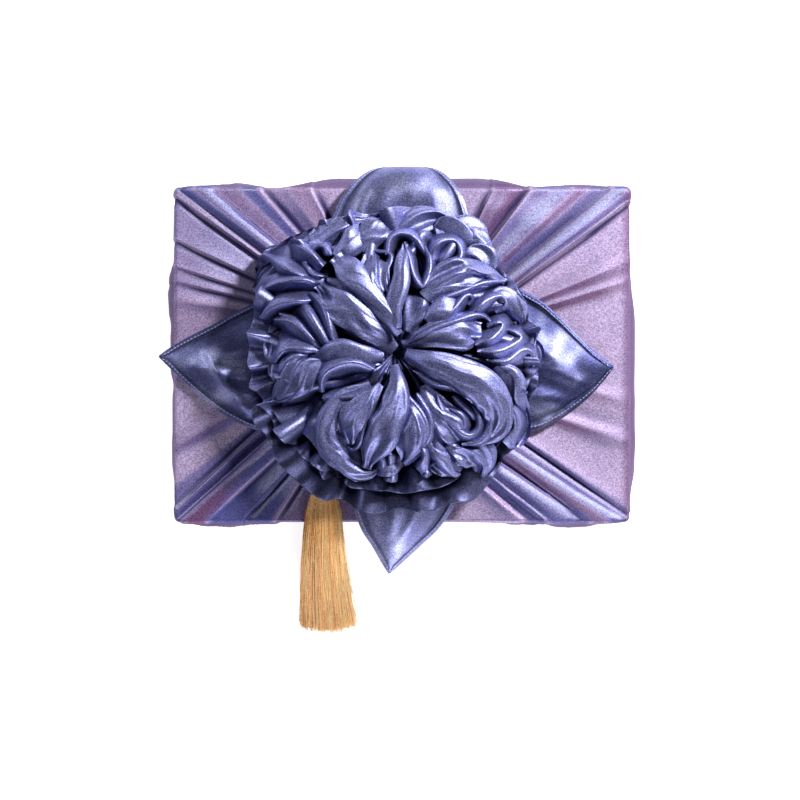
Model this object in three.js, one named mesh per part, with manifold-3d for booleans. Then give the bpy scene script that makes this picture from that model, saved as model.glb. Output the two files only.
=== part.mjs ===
// Wrapping cloth tied round a gift box: one square cloth whose gathered middle stands up as a
// ruffled flower, with its four corners as leaves round it, and a yarn tassel at the front.
// Millimetres, +Z up. Origin at the centre of the flat underside, -Y is the front.

import * as THREE from "three";
import { mergeVertices } from "three/addons/utils/BufferGeometryUtils.js";
import Module from "manifold-3d";

const wasm = await Module();
wasm.setup();

// Outside of the wrapped parcel
const parcelLength = 300;
const parcelWidth = 220;
const parcelHeight = 76;
const cornerRadius = 4.5;
const edgeRound = 2.7;
const edgeEase = 0.6;
const edgeFolds = 0.45;
const clothThickness = 1.6;

// The box inside: clear of the cloth's edges, resting on the cloth below it
const boxClearance = 2.2;
const boxSeat = 0.3;
const boxEdge = 2.5;
const boxCorner = 3;

// Where the cloth is gathered and tied, and the opening left in the middle of the gather
const tie = {
  x: -5,
  y: 2,
  radius: 12,
  height: 30,
  throat: 4.5,
  shoulder: 8,
  foot: 27,
  footRise: 2.5,
  innerFoot: 19,
  gathers: 9,
  gatherDepth: 0.07,
};

// The cloth is cut into strips from the tie to the edge: one on the crest and the foot of each
// fold, more where two are further apart than the widest strip, and a few round each corner
const widestStrip = 38;
const narrowestStrip = 3.2;
const arcSteps = 2;

// The sides in clockwise order seen from above, each starting at its own corner
const sides = {
  back: { start: 0, length: parcelLength },
  right: { start: parcelLength, length: parcelWidth },
  front: { start: parcelLength + parcelWidth, length: parcelLength },
  left: { start: 2 * parcelLength + parcelWidth, length: parcelWidth },
};
const girth = 2 * (parcelLength + parcelWidth);

// Folds that run from the tie to the edge: the side, the distance from that side's first corner,
// the fold's width at the edge and its height
const pleats = [
  { side: "back", at: 4, width: 13, height: 3.4 },
  { side: "back", at: 30, width: 16, height: 2.6 },
  { side: "back", at: 60, width: 14, height: 3.0 },
  { side: "back", at: 212, width: 18, height: 1.8 },
  { side: "back", at: 237, width: 15, height: 3.0 },
  { side: "back", at: 265, width: 16, height: 2.6 },
  { side: "back", at: 290, width: 13, height: 3.4 },
  { side: "right", at: 14, width: 13, height: 3.0 },
  { side: "right", at: 166, width: 18, height: 1.4 },
  { side: "right", at: 206, width: 13, height: 3.0 },
  { side: "front", at: 6, width: 13, height: 3.4 },
  { side: "front", at: 64, width: 15, height: 3.0 },
  { side: "front", at: 90, width: 14, height: 1.8 },
  { side: "front", at: 254, width: 16, height: 2.2 },
  { side: "front", at: 280, width: 15, height: 3.0 },
  { side: "left", at: 4, width: 13, height: 3.2 },
  { side: "left", at: 176, width: 15, height: 2.4 },
  { side: "left", at: 204, width: 13, height: 3.0 },
];

// Places where the cloth stands away from the box's sides
const sideBulges = [
  { side: "back", at: 155, width: 210, depth: 7.5 },
  { side: "back", at: 42, width: 52, depth: 2.6 },
  { side: "back", at: 268, width: 68, depth: 2.8 },
  { side: "right", at: 128, width: 184, depth: 5.6 },
  { side: "front", at: 38, width: 40, depth: 2.6 },
  { side: "front", at: 70, width: 36, depth: 2.4 },
  { side: "front", at: 246, width: 44, depth: 2.2 },
  { side: "front", at: 274, width: 36, depth: 2.8 },
  { side: "left", at: 150, width: 60, depth: 5.6 },
  { side: "left", at: 112, width: 52, depth: 4.0 },
  { side: "left", at: 60, width: 80, depth: 3.0 },
];

// The cloth between the tie and the edge, and down the side: how far along the section lies,
// its drop below the top, and how much of the folds and of the bulge it takes
const topSections = [
  { along: 0.22, folds: 1.5 },
  { along: 0.55, folds: 1.2 },
  { along: 0.9, folds: 0.8 },
];
const sideSections = [
  { drop: 3.5, folds: 0.3, bulge: 0.35 },
  { drop: 24, folds: 0.35, bulge: 1.0 },
  { drop: 51, folds: 0.2, bulge: 0.7 },
];

// Ruffled rounds of the flower from the lowest up: reach from the flower's middle, height of the
// rim over the parcel's top, and the waves of the rim
const flowerCentre = { x: -6, y: 3 };
const ruffles = [
  { reach: 93, rise: 17, root: 10, waves: 9, waveHeight: 3.6, lobes: 5, lobeDepth: 0.06, turn: 0.4 },
  { reach: 76, rise: 34, root: 19, waves: 8, waveHeight: 5.0, lobes: 4, lobeDepth: 0.07, turn: 1.3 },
  { reach: 50, rise: 48, root: 27, waves: 6, waveHeight: 5.5, lobes: 3, lobeDepth: 0.08, turn: 2.1 },
];
const ruffleSteps = 28;
const ruffleRings = [0.11, 0.6, 1];
const ruffleScallop = 0.03;

// The lowest round is lifted where the tassel comes out from under it
const tasselGap = { angle: -120, spread: 22, lift: 7 };

// Loops of cloth pulled out of the gather: heading round the flower, reach of the loop's end, its
// height over the parcel's top, length, depth and width of the loop, and its tilt above level
const loops = [
  { heading: 131, reach: 86, height: 44, length: 74, depth: 15, width: 17, tilt: 0 },
  { heading: 143, reach: 64, height: 54, length: 52, depth: 15, width: 17, tilt: 4 },
  { heading: 161, reach: 80, height: 37, length: 50, depth: 15, width: 30, tilt: -4 },
  { heading: 192, reach: 80, height: 38, length: 64, depth: 17, width: 28, tilt: 0 },
  { heading: 219, reach: 79, height: 30, length: 54, depth: 16, width: 28, tilt: -4 },
  { heading: 243, reach: 77, height: 46, length: 62, depth: 17, width: 24, tilt: -2 },
  { heading: 275, reach: 79, height: 46, length: 64, depth: 20, width: 28, tilt: 0 },
  { heading: 301, reach: 85, height: 34, length: 60, depth: 18, width: 30, tilt: -4 },
  { heading: 328, reach: 86, height: 44, length: 72, depth: 20, width: 32, tilt: 0 },
  { heading: 5, reach: 85, height: 44, length: 72, depth: 19, width: 30, tilt: 0 },
  { heading: 42, reach: 82, height: 42, length: 62, depth: 18, width: 26, tilt: 0 },
  { heading: 63, reach: 62, height: 52, length: 48, depth: 18, width: 20, tilt: 6 },
  { heading: 96, reach: 68, height: 47, length: 52, depth: 17, width: 24, tilt: 2 },
];

const loopSteps = 8;
const loopAcross = 2;
const loopRoot = 1.6;
const loopNarrow = 0.35;
const loopCrown = 0.5;

// Corner leaves: heading, then sections from the gather to the tip with their reach from the
// tie, sideways shift, half width and height of the edge over the parcel's top
const leafDome = 8;
const leafFullDome = 25;
const leafTip = 1.2;
const leaves = [
  {
    name: "left",
    heading: 180,
    sections: [
      { reach: 20, shift: 4, half: 16, height: 9 },
      { reach: 60, shift: 10, half: 38, height: 8 },
      { reach: 88, shift: 10, half: 42, height: 6.5 },
      { reach: 119, shift: 9, half: 27, height: 5.5 },
      { reach: 140, shift: 6, half: 13, height: 4.5 },
      { reach: 153.5, shift: 3.5, half: 1.2, height: 4 },
    ],
  },
  {
    name: "right",
    heading: 0,
    sections: [
      { reach: 20, shift: -4, half: 16, height: 9 },
      { reach: 66, shift: -8, half: 44, height: 8 },
      { reach: 91, shift: -8, half: 43, height: 6 },
      { reach: 114, shift: -11, half: 28, height: 4.5 },
      { reach: 131, shift: -11, half: 14, height: 3.5 },
      { reach: 143, shift: -10, half: 1.2, height: 3 },
    ],
  },
  {
    name: "front",
    heading: 270,
    sections: [
      { reach: 20, shift: 4, half: 14, height: 9 },
      { reach: 80, shift: 5, half: 35, height: 9 },
      { reach: 100, shift: 5, half: 34, height: 7 },
      { reach: 116, shift: 3, half: 25, height: 4 },
      { reach: 130, shift: 0, half: 13, height: 0 },
      { reach: 145, shift: -4, half: 1.2, height: -5 },
    ],
  },
  {
    name: "back",
    heading: 90,
    sections: [
      { reach: 20, shift: -2, half: 16, height: 9 },
      { reach: 78, shift: -4, half: 45, height: 10 },
      { reach: 98, shift: -5, half: 42, height: 9 },
      { reach: 113, shift: -7, half: 32, height: 5 },
      { reach: 122, shift: -8, half: 18, height: -6 },
      { reach: 124, shift: -9, half: 1.2, height: -22 },
    ],
  },
];
const leafSteps = 8;
const leafAcross = 4;

// The tassel's middle line, with the half width and half depth of the bundle there. It lies on
// the parcel's top, bends over the front edge and comes down to the surface in front.
const tasselSections = [
  { x: -50.5, y: -73, z: 81.2, half: 4.0, depth: 4.0 },
  { x: -51, y: -78, z: 81.5, half: 5.2, depth: 5.0 },
  { x: -51, y: -81, z: 81.0, half: 4.2, depth: 4.2 },
  { x: -51, y: -88, z: 81.6, half: 8.0, depth: 5.4 },
  { x: -51.2, y: -99, z: 82.5, half: 11.4, depth: 5.8 },
  { x: -51.6, y: -112, z: 82.0, half: 12.6, depth: 6.0 },
  { x: -52, y: -126, z: 72.6, half: 13.8, depth: 6.0 },
  { x: -52, y: -148, z: 44.6, half: 15.6, depth: 5.6 },
  { x: -51.4, y: -170, z: 18.6, half: 17.8, depth: 5.2 },
  { x: -50.5, y: -180.5, z: 6.8, half: 19.2, depth: 5.0 },
];
const tasselAround = 28;
const tasselFlute = 0.06;

const degrees = Math.PI / 180;

function geometryFrom(points, triangles) {
  const geometry = new THREE.BufferGeometry();
  const numbers = points.flatMap((point) => [point.x, point.y, point.z]);
  geometry.setAttribute("position", new THREE.Float32BufferAttribute(numbers, 3));
  geometry.setIndex(triangles.flat());
  return geometry;
}

// Rows of points, each row a closed ring, are skinned; a row of one point is a pole
function skinRings(rings) {
  const points = [];
  const triangles = [];
  const starts = [];
  for (const ring of rings) {
    starts.push(points.length);
    points.push(...ring);
  }
  for (let row = 0; row + 1 < rings.length; row++) {
    const count = Math.max(rings[row].length, rings[row + 1].length);
    for (let step = 0; step < count; step++) {
      const next = (step + 1) % count;
      const a = starts[row] + (rings[row].length > 1 ? step : 0);
      const b = starts[row] + (rings[row].length > 1 ? next : 0);
      const c = starts[row + 1] + (rings[row + 1].length > 1 ? next : 0);
      const d = starts[row + 1] + (rings[row + 1].length > 1 ? step : 0);
      if (rings[row].length > 1) {
        triangles.push([a, b, c]);
      }
      if (rings[row + 1].length > 1) {
        triangles.push([a, c, d]);
      }
    }
  }
  return geometryFrom(points, triangles);
}

// A sheet given by its middle surface becomes a closed solid of the cloth's thickness
function thickSheet(grid, ringed) {
  const rows = grid.length;
  const columns = grid[0].length;
  const upper = [];
  const lower = [];
  for (let row = 0; row < rows; row++) {
    for (let column = 0; column < columns; column++) {
      const before = ringed ? (column + columns - 1) % columns : Math.max(column - 1, 0);
      const after = ringed ? (column + 1) % columns : Math.min(column + 1, columns - 1);
      const across = grid[row][after].clone().sub(grid[row][before]);
      const along = grid[Math.min(row + 1, rows - 1)][column].clone();
      along.sub(grid[Math.max(row - 1, 0)][column]);
      const normal = along.cross(across).normalize();
      upper.push(grid[row][column].clone().addScaledVector(normal, clothThickness / 2));
      lower.push(grid[row][column].clone().addScaledVector(normal, -clothThickness / 2));
    }
  }
  const triangles = [];
  const quad = (a, b, c, d) => {
    triangles.push([a, b, c]);
    triangles.push([a, c, d]);
  };
  const below = rows * columns;
  const cells = ringed ? columns : columns - 1;
  for (let row = 0; row + 1 < rows; row++) {
    for (let column = 0; column < cells; column++) {
      const next = (column + 1) % columns;
      const a = row * columns + column;
      const b = row * columns + next;
      const c = (row + 1) * columns + next;
      const d = (row + 1) * columns + column;
      quad(a, d, c, b);
      quad(below + a, below + b, below + c, below + d);
    }
  }
  for (let column = 0; column < cells; column++) {
    const next = (column + 1) % columns;
    const last = (rows - 1) * columns;
    quad(column, next, below + next, below + column);
    quad(last + next, last + column, below + last + column, below + last + next);
  }
  if (!ringed) {
    for (let row = 0; row + 1 < rows; row++) {
      const first = row * columns;
      const end = row * columns + columns - 1;
      quad(first + columns, first, below + first, below + first + columns);
      quad(end, end + columns, below + end + columns, below + end);
    }
  }
  return geometryFrom([...upper, ...lower], triangles);
}

function solidOf(geometry) {
  const bare = geometry.clone();
  bare.deleteAttribute("normal");
  bare.deleteAttribute("uv");
  const merged = mergeVertices(bare, 1e-4);
  const triVerts = new Uint32Array(merged.index.array);
  const vertProperties = new Float32Array(merged.attributes.position.array);
  let solid = new wasm.Manifold(new wasm.Mesh({ numProp: 3, vertProperties, triVerts }));
  if (solid.volume() < 0) {
    for (let face = 0; face < triVerts.length; face += 3) {
      const swap = triVerts[face];
      triVerts[face] = triVerts[face + 1];
      triVerts[face + 1] = swap;
    }
    solid = new wasm.Manifold(new wasm.Mesh({ numProp: 3, vertProperties, triVerts }));
  }
  return solid;
}

// Pockets shut inside the joined folds are closed up, so that one body is left
function oneBody(solid) {
  const bodies = solid.decompose().filter((body) => body.volume() > 0);
  bodies.sort((first, second) => second.volume() - first.volume());
  return bodies[0];
}

function geometryOf(solid) {
  const mesh = solid.getMesh();
  const geometry = new THREE.BufferGeometry();
  geometry.setAttribute("position", new THREE.BufferAttribute(mesh.vertProperties, 3));
  geometry.setIndex(new THREE.BufferAttribute(mesh.triVerts, 1));
  geometry.computeVertexNormals();
  return geometry;
}

// Distances along one side at which a strip ends
function stripEnds(side) {
  const wanted = [cornerRadius, side.length - cornerRadius];
  for (const pleat of pleats.filter((row) => sides[row.side] === side)) {
    wanted.push(pleat.at - pleat.width / 2, pleat.at, pleat.at + pleat.width / 2);
  }
  wanted.sort((first, second) => first - second);
  const ends = [];
  for (const place of wanted) {
    const last = ends.length ? ends[ends.length - 1] : -narrowestStrip;
    if (place < cornerRadius || place > side.length - cornerRadius || place - last < narrowestStrip) {
      continue;
    }
    const extra = ends.length ? Math.ceil((place - last) / widestStrip) : 1;
    for (let step = 1; step < extra; step++) {
      ends.push(last + ((place - last) * step) / extra);
    }
    ends.push(place);
  }
  return ends;
}

// Points on the parcel's rounded rectangle, clockwise from the back left corner, each with its
// outward direction and its distance round the girth
function rim() {
  const halfLength = parcelLength / 2;
  const halfWidth = parcelWidth / 2;
  const corners = [
    { x: -halfLength, y: halfWidth, side: sides.back, angle: 180 },
    { x: halfLength, y: halfWidth, side: sides.right, angle: 90 },
    { x: halfLength, y: -halfWidth, side: sides.front, angle: 0 },
    { x: -halfLength, y: -halfWidth, side: sides.left, angle: -90 },
  ];
  const points = [];
  corners.forEach((corner, index) => {
    const centreX = corner.x - Math.sign(corner.x) * cornerRadius;
    const centreY = corner.y - Math.sign(corner.y) * cornerRadius;
    for (let step = 0; step < arcSteps; step++) {
      const turn = (corner.angle - (90 * (step + 0.5)) / arcSteps) * degrees;
      points.push({
        x: centreX + cornerRadius * Math.cos(turn),
        y: centreY + cornerRadius * Math.sin(turn),
        outX: Math.cos(turn),
        outY: Math.sin(turn),
        girthAt: (corner.side.start + girth + (step - (arcSteps - 1) / 2) * cornerRadius) % girth,
      });
    }
    const next = corners[(index + 1) % corners.length];
    const outward = (corner.angle - 90) * degrees;
    for (const along of stripEnds(corner.side)) {
      const part = along / corner.side.length;
      points.push({
        x: corner.x + (next.x - corner.x) * part,
        y: corner.y + (next.y - corner.y) * part,
        outX: Math.cos(outward),
        outY: Math.sin(outward),
        girthAt: corner.side.start + along,
      });
    }
  });
  return points;
}

function softHill(distance, width) {
  const share = Math.min(Math.abs(distance) / width, 1);
  return (1 + Math.cos(Math.PI * share)) / 2;
}

function aroundGirth(table, size, girthAt) {
  let total = 0;
  for (const row of table) {
    let distance = Math.abs(girthAt - (sides[row.side].start + row.at));
    distance = Math.min(distance, girth - distance);
    total += row[size] * softHill(distance, row.width / 2);
  }
  return total;
}

// The sections of the wrapped cloth as rings of points from the tie to the middle of the underside,
// set in from its outer face by the inset. The inner face lies flat on the box, under the folds.
function wrapRings(inset) {
  const directions = rim();
  const toPoint = (x, y, z) => new THREE.Vector3(x, y, z);
  const round = (radius, z) =>
    directions.map((end) => {
      const angle = Math.atan2(end.y - tie.y, end.x - tie.x);
      const gather = radius * (1 + tie.gatherDepth * Math.cos(tie.gathers * angle));
      return toPoint(tie.x + gather * Math.cos(angle), tie.y + gather * Math.sin(angle), z);
    });
  const inner = inset > 0;
  const neck = inner ? tie.throat : tie.radius;
  const rings = [];
  rings.push(round(neck, parcelHeight + tie.height));
  rings.push(round(neck, parcelHeight + tie.shoulder - inset));
  rings.push(round(inner ? tie.innerFoot : tie.foot, parcelHeight + tie.footRise - inset));
  for (const section of inner ? [] : topSections) {
    rings.push(
      directions.map((end) => {
        const angle = Math.atan2(end.y - tie.y, end.x - tie.x);
        const startX = tie.x + tie.foot * Math.cos(angle);
        const startY = tie.y + tie.foot * Math.sin(angle);
        const folds = section.folds * aroundGirth(pleats, "height", end.girthAt);
        const edgeInset = edgeRound * section.along;
        const x = startX + (end.x - end.outX * edgeInset - startX) * section.along;
        const y = startY + (end.y - end.outY * edgeInset - startY) * section.along;
        return toPoint(x, y, parcelHeight + folds);
      }),
    );
  }
  rings.push(
    directions.map((end) => {
      const folds = inner ? 0 : edgeFolds * aroundGirth(pleats, "height", end.girthAt);
      const back = edgeRound + edgeEase * inset;
      return toPoint(end.x - end.outX * back, end.y - end.outY * back, parcelHeight + folds - inset);
    }),
  );
  for (const section of sideSections) {
    rings.push(
      directions.map((end) => {
        const folds = section.folds * aroundGirth(pleats, "height", end.girthAt);
        const bulge = section.bulge * aroundGirth(sideBulges, "depth", end.girthAt);
        const out = folds + bulge - inset;
        return toPoint(end.x + end.outX * out, end.y + end.outY * out, parcelHeight - section.drop);
      }),
    );
  }
  const turnHeight = edgeRound + edgeEase * inset;
  rings.push(
    directions.map((end) => toPoint(end.x - end.outX * inset, end.y - end.outY * inset, turnHeight)),
  );
  rings.push(
    directions.map((end) => {
      const x = end.x - end.outX * turnHeight;
      const y = end.y - end.outY * turnHeight;
      return toPoint(x, y, inset);
    }),
  );
  rings.push([toPoint(0, 0, inset)]);
  return rings;
}

function wrap() {
  const outside = wrapRings(0);
  const inside = wrapRings(clothThickness);
  return solidOf(skinRings([...outside.reverse(), ...inside]));
}

function ruffle(row) {
  const grid = ruffleRings.map((share) => {
    const ring = [];
    for (let step = 0; step < ruffleSteps; step++) {
      const angle = (2 * Math.PI * step) / ruffleSteps;
      const lobe = 1 + row.lobeDepth * Math.cos(row.lobes * angle + row.turn);
      const fine = 1 + ruffleScallop * Math.cos(row.waves * angle + 2 * row.turn);
      const radius = share * row.reach * lobe * fine;
      const wave = row.waveHeight * share * Math.sin(row.waves * angle + row.turn);
      const turnFromGap = Math.atan2(
        Math.sin(angle - tasselGap.angle * degrees),
        Math.cos(angle - tasselGap.angle * degrees),
      );
      const gap = row === ruffles[0] ? softHill(turnFromGap, tasselGap.spread * degrees) : 0;
      const settle = wave * (1 - gap) + gap * tasselGap.lift;
      const height = row.root + (row.rise - row.root) * Math.sqrt(share) + settle;
      ring.push(
        new THREE.Vector3(
          flowerCentre.x + radius * Math.cos(angle),
          flowerCentre.y + radius * Math.sin(angle),
          parcelHeight + height,
        ),
      );
    }
    return ring;
  });
  return solidOf(thickSheet(grid, true));
}

// A loop is a band of cloth that goes out, turns and comes back to the gather, where it is narrow
function loop(row) {
  const heading = row.heading * degrees;
  const tilt = row.tilt * degrees;
  const grid = [];
  for (let step = 0; step <= loopSteps; step++) {
    const share = step / loopSteps;
    const out = row.length * Math.sin(Math.PI * share);
    const up = (row.depth / 2) * Math.sin(2 * Math.PI * share) + loopRoot * (1 - 2 * share);
    const width = row.width * (loopNarrow + (1 - loopNarrow) * Math.sin(Math.PI * share));
    const across = [];
    for (let cell = 0; cell <= loopAcross; cell++) {
      const place = cell / loopAcross - 0.5;
      const crown = 1 - loopCrown * place * place;
      const level = (out * Math.cos(tilt) - up * Math.sin(tilt)) * crown + row.reach - row.length;
      across.push(
        new THREE.Vector3(
          flowerCentre.x + level * Math.cos(heading) - place * width * Math.sin(heading),
          flowerCentre.y + level * Math.sin(heading) + place * width * Math.cos(heading),
          parcelHeight + row.height + out * Math.sin(tilt) + up * Math.cos(tilt) * crown,
        ),
      );
    }
    grid.push(across);
  }
  return solidOf(thickSheet(grid, false));
}

function leaf(row) {
  const line = (key) => new THREE.SplineCurve(row.sections.map((s, i) => new THREE.Vector2(i, s[key])));
  const reach = line("reach");
  const shift = line("shift");
  const half = line("half");
  const height = line("height");
  const heading = row.heading * degrees;
  const ahead = new THREE.Vector2(Math.cos(heading), Math.sin(heading));
  const aside = new THREE.Vector2(-ahead.y, ahead.x);
  const grid = [];
  for (let step = 0; step <= leafSteps; step++) {
    const share = step / leafSteps;
    const across = [];
    for (let cell = 0; cell <= leafAcross; cell++) {
      const place = (2 * cell) / leafAcross - 1;
      const width = Math.max(half.getPoint(share).y, leafTip);
      const sideways = shift.getPoint(share).y + place * width;
      const dome = leafDome * (1 - place * place) * Math.min(width / leafFullDome, 1);
      across.push(
        new THREE.Vector3(
          tie.x + ahead.x * reach.getPoint(share).y + aside.x * sideways,
          tie.y + ahead.y * reach.getPoint(share).y + aside.y * sideways,
          parcelHeight + height.getPoint(share).y + dome,
        ),
      );
    }
    grid.push(across);
  }
  return solidOf(thickSheet(grid, false));
}

function wrappingCloth() {
  let cloth = wrap();
  for (const row of ruffles) {
    cloth = cloth.add(ruffle(row));
  }
  for (const row of loops) {
    cloth = cloth.add(loop(row));
  }
  for (const row of leaves) {
    cloth = cloth.add(leaf(row));
  }
  const material = new THREE.MeshStandardMaterial({ color: 0x7d7bb4, roughness: 0.42, metalness: 0.0 });
  const mesh = new THREE.Mesh(geometryOf(oneBody(cloth)), material);
  mesh.name = "wrapping_cloth";
  return mesh;
}

function giftBox() {
  const gap = clothThickness + boxClearance;
  const halfLength = parcelLength / 2 - gap - boxEdge;
  const halfWidth = parcelWidth / 2 - gap - boxEdge;
  const height = parcelHeight - 2 * clothThickness - 2 * boxSeat;
  const outline = new THREE.Shape();
  const turn = Math.PI / 2;
  outline.absarc(halfLength - boxCorner, halfWidth - boxCorner, boxCorner, 0, turn);
  outline.absarc(boxCorner - halfLength, halfWidth - boxCorner, boxCorner, turn, 2 * turn);
  outline.absarc(boxCorner - halfLength, boxCorner - halfWidth, boxCorner, 2 * turn, 3 * turn);
  outline.absarc(halfLength - boxCorner, boxCorner - halfWidth, boxCorner, 3 * turn, 4 * turn);
  outline.closePath();
  const geometry = new THREE.ExtrudeGeometry(outline, {
    depth: height - 2 * boxEdge,
    bevelEnabled: true,
    bevelSize: boxEdge,
    bevelThickness: boxEdge,
    bevelSegments: 2,
    curveSegments: 4,
  });
  const material = new THREE.MeshStandardMaterial({ color: 0xd9d2c4, roughness: 0.8, metalness: 0.0 });
  const mesh = new THREE.Mesh(geometry, material);
  mesh.name = "gift_box";
  mesh.position.z = clothThickness + boxSeat + boxEdge;
  return mesh;
}

// A bundle of strands: its skin is fluted, and its ends are cut off flat
function tassel() {
  const middle = new THREE.CatmullRomCurve3(
    tasselSections.map((section) => new THREE.Vector3(section.x, section.y, section.z)),
  );
  const rings = [];
  tasselSections.forEach((section, index) => {
    const share = index / (tasselSections.length - 1);
    const ahead = middle.getTangent(share);
    const across = new THREE.Vector3(1, 0, 0);
    const up = across.clone().cross(ahead).normalize();
    if (up.z < 0) {
      up.negate();
    }
    const ring = [];
    for (let step = 0; step < tasselAround; step++) {
      const angle = (-2 * Math.PI * step) / tasselAround;
      const flute = 1 - (step % 2) * tasselFlute;
      ring.push(
        new THREE.Vector3(section.x, section.y, section.z)
          .addScaledVector(across, section.half * flute * Math.cos(angle))
          .addScaledVector(up, section.depth * flute * Math.sin(angle)),
      );
    }
    rings.push(ring);
  });
  const first = tasselSections[0];
  const last = tasselSections[tasselSections.length - 1];
  rings.unshift([new THREE.Vector3(first.x, first.y, first.z)]);
  rings.push([new THREE.Vector3(last.x, last.y, last.z)]);
  const material = new THREE.MeshStandardMaterial({ color: 0xe0a262, roughness: 0.5, metalness: 0.0 });
  const mesh = new THREE.Mesh(geometryOf(oneBody(solidOf(skinRings(rings)))), material);
  mesh.name = "tassel";
  return mesh;
}

const group = new THREE.Group();
group.add(wrappingCloth());
group.add(giftBox());
group.add(tassel());

export default group;
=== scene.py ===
# Gift box wrapped in shot satin: ruffled flower, four corner leaves and a golden tassel.
# Shapes are worked out in millimetres and turned into metres as each mesh is made.
import bpy
import math
import numpy as np
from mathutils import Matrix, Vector


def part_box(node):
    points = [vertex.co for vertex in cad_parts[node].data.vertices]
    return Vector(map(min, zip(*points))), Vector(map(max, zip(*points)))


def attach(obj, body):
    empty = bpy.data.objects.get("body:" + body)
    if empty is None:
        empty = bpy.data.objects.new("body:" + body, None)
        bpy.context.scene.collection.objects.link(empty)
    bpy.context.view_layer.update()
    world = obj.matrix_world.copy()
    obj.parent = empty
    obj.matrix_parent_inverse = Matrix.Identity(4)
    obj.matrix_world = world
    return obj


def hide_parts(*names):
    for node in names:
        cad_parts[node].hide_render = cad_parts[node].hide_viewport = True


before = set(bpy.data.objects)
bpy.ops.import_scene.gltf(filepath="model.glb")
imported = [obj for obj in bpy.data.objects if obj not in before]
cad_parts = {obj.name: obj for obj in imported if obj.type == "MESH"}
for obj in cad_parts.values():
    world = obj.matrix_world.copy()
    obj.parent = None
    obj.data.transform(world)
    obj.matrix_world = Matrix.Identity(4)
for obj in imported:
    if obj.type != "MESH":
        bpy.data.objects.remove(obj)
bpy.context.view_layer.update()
millimetre = 0.001
wholeTurn = 2 * math.pi
anyPhase = (0, 6.28)
least = 1e-9                                          # keeps a length from being nothing

boxHigh = np.array(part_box("gift_box")[1]) / millimetre
halfLength, halfWidth = boxHigh[:2] + 3.8             # outer face of the cloth beyond the box
parcelTop = boxHigh[2] + 1.9                          # and over it
tie = np.array([-5.0, 2.0])                           # where the cloth is gathered


def table(columns, *rows):
    # rows of values under named columns
    names = columns.split()
    return [dict(zip(names, row)) for row in rows]


def smoothStep(low, high, value):
    share = np.clip((value - low) / (high - low), 0, 1)
    return share * share * (3 - 2 * share)


def bell(value):
    return np.exp(-value ** 2)


def headings(count):
    return np.linspace(0, wholeTurn, count, endpoint=False)


def towards(angle):
    return np.stack([np.cos(angle), np.sin(angle)], -1)


def lengthOf(vectors):
    return np.linalg.norm(vectors, axis=-1, keepdims=True)


def unit(vectors, more=0):
    return vectors / (lengthOf(vectors) + more)


def farFrom(place, spots):
    return np.hypot(spots[..., 0] - place[0], spots[..., 1] - place[1])


def raised(spots, height):
    # places on the ground with their height beside them
    return np.column_stack([spots, np.broadcast_to(height, len(spots))])


def softCurve(a, b, c, d, t):
    # from b to c, coming from a and going on to d
    return 0.5 * (2 * b + (c - a) * t + (2 * a - 5 * b + 4 * c - d) * t ** 2
                  + (3 * b - a - 3 * c + d) * t ** 3)


def blend(first, second, share):
    return first * (1 - share) + second * share


def runAlong(path):
    return np.concatenate([[0], np.cumsum(np.linalg.norm(np.diff(path, axis=0), axis=1))])


def readOff(at, knots, rows):
    # each column of the rows at these places between the knots
    return np.stack([np.interp(at, knots, rows[:, k]) for k in range(rows.shape[1])], 1)


curveSteps = 24


def throughPoints(points, count):
    # evenly spaced places on a soft curve through the points
    points = np.array(points, float)
    if len(points) == 2:
        points = np.array([points[0], points.mean(0), points[1]])
    padded = np.vstack([2 * points[0] - points[1], points, 2 * points[-1] - points[-2]])
    fine = [softCurve(*padded[i:i + 4], t) for i in range(len(points) - 1)
            for t in np.linspace(0, 1, curveSteps, endpoint=False)]
    fine = np.array(fine + [points[-1]])
    run = runAlong(fine)
    return readOff(np.linspace(0, run[-1], count), run, fine)


def spread(values, count):
    # a short list of values spread softly over count places
    return throughPoints(np.stack([np.arange(len(values)), values], 1), count)[:, 1]


rolling = {"waves": 10, "pitch": (0.6, 1.7), "share": 6}


def hills(spots, seed, size):
    # gentle uneven ground, the same every time
    own = np.random.default_rng(seed)
    x, y = spots[..., 0], spots[..., 1]
    total = 0
    for _ in range(rolling["waves"]):
        heading = own.uniform(0, wholeTurn)
        pitch = size * own.uniform(*rolling["pitch"])
        across = x * math.cos(heading) + y * math.sin(heading)
        total = total + np.sin(across * 2 * math.pi / pitch + own.uniform(*anyPhase)) * pitch / size
    return total / rolling["share"]


def finer(grid, times, closed=False):
    # more points on a soft surface through those of a coarse grid
    for axis in (0, 1):
        count = grid.shape[axis]
        wraps = closed and axis == 1
        at = np.arange(count * times if wraps else (count - 1) * times + 1) / times
        low = np.floor(at).astype(int)
        part = (at - low).reshape((-1, 1, 1) if axis == 0 else (1, -1, 1))
        steps = [low + k for k in (-1, 0, 1, 2)]
        steps = [step % count if wraps else np.clip(step, 0, count - 1) for step in steps]
        grid = softCurve(*[np.take(grid, step, axis) for step in steps], part)
    return grid


def normals(grid):
    return unit(np.cross(np.gradient(grid, axis=0), np.gradient(grid, axis=1)), least)


def intoScene(name, data):
    made = bpy.data.objects.new(name, data)
    bpy.context.scene.collection.objects.link(made)
    return made


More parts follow.
